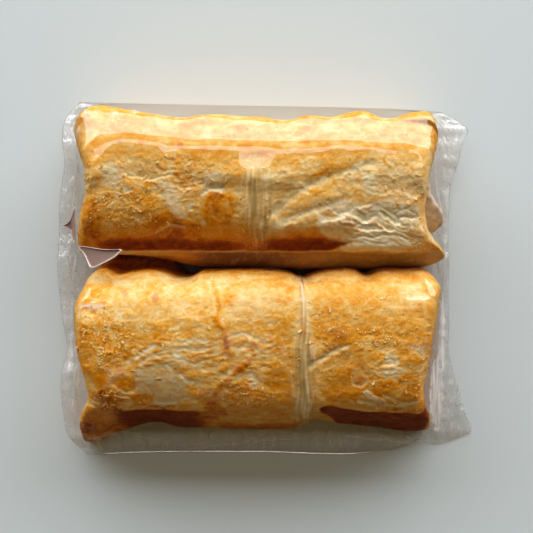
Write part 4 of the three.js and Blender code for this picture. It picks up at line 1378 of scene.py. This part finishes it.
# A flap of film folded over at the left end of the valley, and a shaded tuck beside it, as outlines.
FLAP = [
    (-75.9, 13), (-74.4, 13.5), (-70.2, 13), (-65, 12.2), (-60.9, 11.9), (-56.7, 12.1), (-55.9, 11.5),
    (-58.9, 8.8), (-62, 7.2), (-65, 5.8), (-67.8, 4.6), (-69.4, 4.8), (-70.4, 6.2), (-72, 9.4),
    (-73.8, 11.4),
]
TUCK = [
    (-88.2, 23), (-84.8, 20.8), (-81, 16.5), (-78.6, 14.6), (-77.6, 22.2), (-78, 29.6), (-80.5, 27.4),
    (-84.4, 25.2),
]
FOLD_LIFT = 0.35  # how far the folds lie above the film
FOLD_THICKNESS = 0.24
FOLD_STEPS = 8  # points along each side of an outline
# Where the rings of a fold lie, as shares of the way from its middle to its rim.
FOLD_RINGS = (0.02, 0.2, 0.4, 0.6, 0.75, 0.84, 0.89, 0.93, 0.965, 1.0)


def make_fold(name, outline, film, material):
    """A thin closed flap with a raised rim, lying on the film, with a share for the highlight painted along
    the rim.
    """
    tree = BVHTree.FromObject(film, bpy.context.evaluated_depsgraph_get())
    corners = np.array(outline)
    loop = np.concatenate([corners, corners[:1]])
    along = np.linspace(0, len(corners), FOLD_STEPS * len(corners), endpoint=False)
    rim = np.stack([np.interp(along, range(len(loop)), loop[:, k]) for k in range(2)], axis=1)
    middle = rim.mean(axis=0)
    rings, bright = [], []
    for side, turn in ((1, FOLD_RINGS), (-1, FOLD_RINGS[::-1])):
        for share in turn:
            place = middle + (rim - middle) * share
            raised = 0.7 * smoothstep(share, 0.86, 0.95) - 0.5 * smoothstep(share, 0.96, 1.0)
            lying = np.array([height_at(tree, *spot) for spot in place])
            rings.append(np.column_stack([place, lying + FOLD_LIFT + raised + side * FOLD_THICKNESS / 2]))
            bright.append(bell(share - 0.95, 0.03))
    faces = capped_faces(len(rings), len(rim))
    shares = {"rim": np.repeat(bright, len(rim))}
    return point_outwards(make_piece(name, np.concatenate(rings), faces, material, shares))


# ---------------------------------------------------------------- finishes

BAKED = [
    (0, (0.93, 0.75, 0.43)), (0.18, (0.90, 0.61, 0.25)), (0.35, (0.84, 0.45, 0.095)),
    (0.5, (0.80, 0.305, 0.012)), (0.65, (0.67, 0.20, 0.002)), (0.8, (0.40, 0.078, 0.001)),
    (1, (0.17, 0.013, 0.0003)),
]
WHITE = (0.95, 0.87, 0.66, 1)
CREAM = (0.90, 0.72, 0.40, 1)
OLIVE = (0.45, 0.295, 0.10, 1)
PINK = (0.55, 0.20, 0.11, 1)
LOOSE = [(0.3, (0.70, 0.33, 0.04)), (0.5, (0.86, 0.52, 0.14)), (0.68, (0.92, 0.72, 0.38))]
MEAT = [(0.3, (0.62, 0.40, 0.27)), (0.5, (0.80, 0.58, 0.42)), (0.7, (0.90, 0.72, 0.56))]
SHEEN = (1, 0.97, 0.965, 1)  # the film's reflections


class Finish:
    """A material with short calls to add nodes and join them."""

    def __init__(self, name):
        self.material = bpy.data.materials.new(name)
        self.material.use_nodes = True
        self.tree = self.material.node_tree
        self.tree.nodes.clear()
        self.output = self.tree.nodes.new("ShaderNodeOutputMaterial")

    def node(self, kind, inputs=None, **settings):
        made = self.tree.nodes.new("ShaderNode" + kind)
        for key, value in settings.items():
            setattr(made, key, value)
        for key, value in (inputs or {}).items():
            self.put(made.inputs[key], value)
        return made

    def put(self, socket, value):
        if isinstance(value, bpy.types.NodeSocket):
            self.tree.links.new(value, socket)
        else:
            socket.default_value = value

    def share(self, name):
        return self.node("Attribute", attribute_name=name).outputs["Fac"]

    def maths(self, operation, *values, clamp=False):
        return self.node("Math", dict(enumerate(values)), operation=operation, use_clamp=clamp).outputs[0]

    def varied(self, base, pattern, amount):
        """A value that a pattern moves up and down by half an amount."""
        return self.maths("MULTIPLY_ADD", self.maths("SUBTRACT", pattern, 0.5), amount, base)

    def grain(self, size, detail=2.0, stretch=(1, 1, 1), roughness=0.5):
        place = self.node("TexCoord").outputs["Object"]
        mapped = self.node("Mapping", {"Vector": place, "Scale": stretch}).outputs["Vector"]
        inputs = {"Vector": mapped, "Scale": 1 / (size * MM), "Detail": detail, "Roughness": roughness}
        return self.node("TexNoise", inputs).outputs["Fac"]

    def thin_lines(self, share, half_width):
        """Lines where a share passes a half, 1 on them and 0 past their half width."""
        off = self.maths("ABSOLUTE", self.maths("SUBTRACT", share, 0.5))
        return self.maths("MULTIPLY_ADD", off, -1 / half_width, 1.0, clamp=True)

    def mix(self, share, a, b, blend="MIX"):
        inputs = {0: share, 6: a, 7: b}
        return self.node("Mix", inputs, data_type="RGBA", blend_type=blend, clamp_factor=True).outputs[2]

    def ramp(self, share, stops):
        made = self.node("ValToRGB", {"Fac": share})
        band = made.color_ramp
        while len(band.elements) < len(stops):
            band.elements.new(1)
        for element, (place, colour) in zip(band.elements, stops):
            element.position = place
            element.color = (*colour, 1)
        return made.outputs["Color"]

    def bump(self, height, strength, depth):
        inputs = {"Height": height, "Strength": strength, "Distance": depth * MM}
        return self.node("Bump", inputs).outputs["Normal"]

    def layered(self, share, under, over):
        return self.node("MixShader", {0: share, 1: under, 2: over}).outputs["Shader"]

    def shader(self, kind, **inputs):
        named = {key.replace("_", " "): value for key, value in inputs.items()}
        return self.node("Bsdf" + kind, named).outputs["BSDF"]

    def done(self, shader):
        self.put(self.output.inputs["Surface"], shader)
        return self.material


def pastry_finish():
    f = Finish("baked_pastry")
    mottle = f.grain(2.6, 3)
    speckle = f.grain(0.7, 2, roughness=0.6)
    bake = f.varied(f.share("bake"), mottle, 0.32)
    bake = f.varied(bake, speckle, f.maths("MULTIPLY_ADD", f.share("crumb"), 0.4, 0.22))
    colour = f.ramp(bake, BAKED)
    for name, tint in (("olive", OLIVE), ("cream", CREAM), ("white", WHITE), ("pink", PINK)):
        colour = f.mix(f.share(name), colour, tint)
    rough = f.varied(f.maths("MULTIPLY_ADD", f.share("gloss"), -0.28, 0.62), speckle, 0.25)
    normal = f.bump(f.maths("MULTIPLY_ADD", f.grain(0.45, 2), 0.6, mottle), 0.55, 0.3)
    return f.done(f.shader(
        "Principled", Base_Color=colour, Roughness=rough, Normal=normal, Specular_IOR_Level=0.2,
        Specular_Tint=(1, 0.7, 0.3, 1),
    ))


def loose_finish():
    """Loose flakes and crumbs: the same pastry, from pale cream to golden brown."""
    f = Finish("loose_pastry")
    colour = f.ramp(f.grain(3.5, 2), LOOSE)
    normal = f.bump(f.grain(0.4, 2), 0.5, 0.15)
    return f.done(f.shader(
        "Principled", Base_Color=colour, Roughness=0.5, Normal=normal, Specular_IOR_Level=0.25,
    ))


def meat_finish():
    f = Finish("cooked_sausage_meat")
    colour = f.ramp(f.grain(2.2, 3), MEAT)
    normal = f.bump(f.grain(0.8, 3), 0.6, 0.4)
    return f.done(f.shader("Principled", Base_Color=colour, Roughness=0.45, Normal=normal))


def film_finish():
    """Clear film: painted glints where crinkled, creases milky and partly painted reflection, glossiest seen
    edge on.
    """
    f = Finish("clear_packing_film")
    crinkle = f.share("crinkle")
    # Painted glints: thin lines of white veil on the crinkled film stand in for the glints off its crinkles.
    streaks = f.thin_lines(f.grain(9, 3, stretch=(1, 0.4, 1)), 0.012)
    glints = f.thin_lines(f.grain(4, 3, stretch=(1, 0.7, 1)), 0.016)
    lines = f.maths("MULTIPLY_ADD", f.maths("MAXIMUM", streaks, glints), 0.6, 0.03)
    veiled = f.maths("MAXIMUM", f.maths("MULTIPLY", crinkle, lines), f.share("crease"))
    tint = f.mix(crinkle, (0.998, 0.996, 0.992, 1), (0.95, 0.925, 0.90, 1))
    clear = f.shader("Transparent", Color=tint)
    veil = f.shader("Diffuse", Color=(0.92, 0.90, 0.88, 1))
    gloss = f.shader("Glossy", Color=SHEEN, Roughness=0.035, Normal=f.bump(f.grain(2.2, 2), crinkle, 0.55))
    edge_on = f.node("LayerWeight", {"Blend": 0.5}).outputs["Facing"]
    reflected = f.maths("MULTIPLY_ADD", f.maths("POWER", edge_on, 5.0), 0.28, 0.047, clamp=True)
    reflected = f.maths("MULTIPLY_ADD", f.share("crease"), 0.08, reflected)
    return f.done(f.layered(reflected, f.layered(veiled, clear, veil), gloss))


def fold_finish():
    """Folded film: painted purple-brown shade and reflected crust where it covers the crust, painted white
    rim highlight.
    """
    f = Finish("folded_film")
    rim = f.share("rim")
    clear = f.shader("Transparent", Color=(0.9, 0.87, 0.86, 1))
    # Painted shade and reflected crust in purple-brown over the body, and a painted white highlight along the
    # rim.
    colour = f.mix(rim, (0.35, 0.255, 0.215, 1), (0.95, 0.9, 0.88, 1))
    colour = f.mix(f.grain(0.9, 3, stretch=(0.25, 1, 1)), colour, (0.6, 0.47, 0.44, 1), blend="OVERLAY")
    body = f.layered(f.maths("MULTIPLY_ADD", rim, 0.1, 0.88), clear, f.shader("Diffuse", Color=colour))
    return f.done(f.layered(0.05, body, f.shader("Glossy", Color=SHEEN, Roughness=0.08)))


def table_finish():
    """A pale table, which the film's reflections show as dark."""
    f = Finish("pale_table")
    mirrored = f.node("LightPath").outputs["Is Glossy Ray"]
    colour = f.mix(mirrored, (0.62, 0.665, 0.67, 1), (0.03, 0.022, 0.014, 1))
    return f.done(f.shader("Principled", Base_Color=colour, Roughness=0.6, Specular_IOR_Level=0.2))


# ---------------------------------------------------------------- table, light and camera

TABLE_HALF_SIZE = 1.5
WINDOW_DISTANCE = 3.0
WINDOW_COLOUR = (0.95, 1.0, 1.06)
# A window and its upper pane: lowest and highest degrees above the table, half width, radiance and shift.
WINDOWS = dict(window=(9, 44, 4.6, 5.9, 0.7), upper_pane=(59, 66, 0.85, 4.0, 0))
CEILING_AIM = (0, 0.5, 0.866)  # the brightest part of the ceiling
CEILING_LIGHT = (0.112, 0.092, 0.052)
WALL_LIGHT = (0.215, 0.146, 0.045)
WALL_ENDS, CEILING_STARTS = 0.1, 0.8
ROOM_GLOSS = 0.015
CAMERA_HEIGHT = 340
CAMERA_Y = 5.3
FOCAL_SHARE = 770 / 533  # focal length over picture width
SENSOR = 36


def hang_window(name, low, high, half_width, radiance, shift):
    """A soft window beyond the far side, between two heights in degrees seen from the table's middle."""
    middle, half = np.radians((low + high) / 2), np.radians((high - low) / 2)
    lamp = bpy.data.lights.new(name, "AREA")
    lamp.shape = "RECTANGLE"
    lamp.size = 2 * half_width
    lamp.size_y = 2 * WINDOW_DISTANCE * np.tan(half)
    lamp.energy = radiance * np.pi * lamp.size * lamp.size_y
    lamp.color = WINDOW_COLOUR
    light = bpy.data.objects.new(name, lamp)
    light.location = (shift, WINDOW_DISTANCE * np.cos(middle), WINDOW_DISTANCE * np.sin(middle))
    light.rotation_euler = (-(np.pi / 2 - middle), 0, 0)
    bpy.context.scene.collection.objects.link(light)


def light_room():
    """The windows, and soft light from the walls and ceiling that is dim in reflections."""
    for name, window in WINDOWS.items():
        hang_window(name, *window)
    world = bpy.data.worlds.new("room")
    world.use_nodes = True
    tree = world.node_tree
    background = tree.nodes["Background"]
    place = tree.nodes.new("ShaderNodeTexCoord").outputs["Generated"]
    toward = tree.nodes.new("ShaderNodeVectorMath")
    toward.operation = "DOT_PRODUCT"
    tree.links.new(place, toward.inputs[0])
    toward.inputs[1].default_value = CEILING_AIM
    walls = tree.nodes.new("ShaderNodeValToRGB")
    walls.color_ramp.interpolation = "EASE"
    tree.links.new(toward.outputs["Value"], walls.inputs["Fac"])
    wall, ceiling = walls.color_ramp.elements
    wall.position, ceiling.position = WALL_ENDS, CEILING_STARTS
    wall.color = (*WALL_LIGHT, 1)
    ceiling.color = (*CEILING_LIGHT, 1)
    path = tree.nodes.new("ShaderNodeLightPath")
    dim = tree.nodes.new("ShaderNodeMix")
    dim.data_type = "RGBA"
    tree.links.new(path.outputs["Is Glossy Ray"], dim.inputs[0])
    tree.links.new(walls.outputs["Color"], dim.inputs[6])
    dim.inputs[7].default_value = (ROOM_GLOSS, ROOM_GLOSS, ROOM_GLOSS, 1)
    tree.links.new(dim.outputs[2], background.inputs["Color"])
    background.inputs["Strength"].default_value = 1
    bpy.context.scene.world = world


def make_table():
    half = TABLE_HALF_SIZE
    mesh = bpy.data.meshes.new("table")
    corners = [(-half, -half, 0), (half, -half, 0), (half, half, 0), (-half, half, 0)]
    mesh.from_pydata(corners, [], [(0, 1, 2, 3)])
    mesh.materials.append(table_finish())
    table = bpy.data.objects.new("table", mesh)
    bpy.context.scene.collection.objects.link(table)


def place_camera():
    lens = bpy.data.cameras.new("camera")
    lens.sensor_width = SENSOR
    lens.lens = FOCAL_SHARE * SENSOR
    camera = bpy.data.objects.new("camera", lens)
    camera.location = (0, CAMERA_Y * MM, CAMERA_HEIGHT * MM)
    bpy.context.scene.collection.objects.link(camera)
    bpy.context.scene.camera = camera


# ---------------------------------------------------------------- the pack

bpy.context.scene.view_settings.view_transform = "Standard"
pastry = pastry_finish()
meat = meat_finish()
far_pastry = make_roll(FAR_ROLL, pastry)
near_pastry = make_roll(NEAR_ROLL, pastry)
far_meat = make_meat(FAR_ROLL, meat, seed=500)
near_meat = make_meat(NEAR_ROLL, meat, seed=600)
loose = loose_finish()
flake, crumb = make_flake(loose), make_crumb(loose)
strewn = scatter_tree(loose)
loose_bits = [
    strew("far_roll_flakes", strewn, far_pastry, flake, FLAKES, loose, seed=21),
    strew("far_roll_crumbs", strewn, far_pastry, crumb, CRUMBS, loose, seed=22),
    strew("near_roll_flakes", strewn, near_pastry, flake, FLAKES, loose, seed=23),
    strew("near_roll_crumbs", strewn, near_pastry, crumb, CRUMBS, loose, seed=24),
]
for shape in (flake, crumb):
    bpy.data.objects.remove(shape)
contents = [far_pastry, near_pastry, far_meat, near_meat, *loose_bits]
film = make_film(contents, film_finish())
folded = fold_finish()
flap = make_fold("film_flap", FLAP, film, folded)
tuck = make_fold("film_tuck", TUCK, film, folded)

for piece, slot in (
    (far_pastry, "pastry"), (near_pastry, "pastry"), (far_meat, "sausage_meat"), (near_meat, "sausage_meat"),
    (film, "clear_film"), (flap, "clear_film"), (tuck, "clear_film"),
    *((bits, "pastry") for bits in loose_bits),
):
    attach(piece, "root")
    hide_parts("clear_bag")

make_table()
light_room()
place_camera()
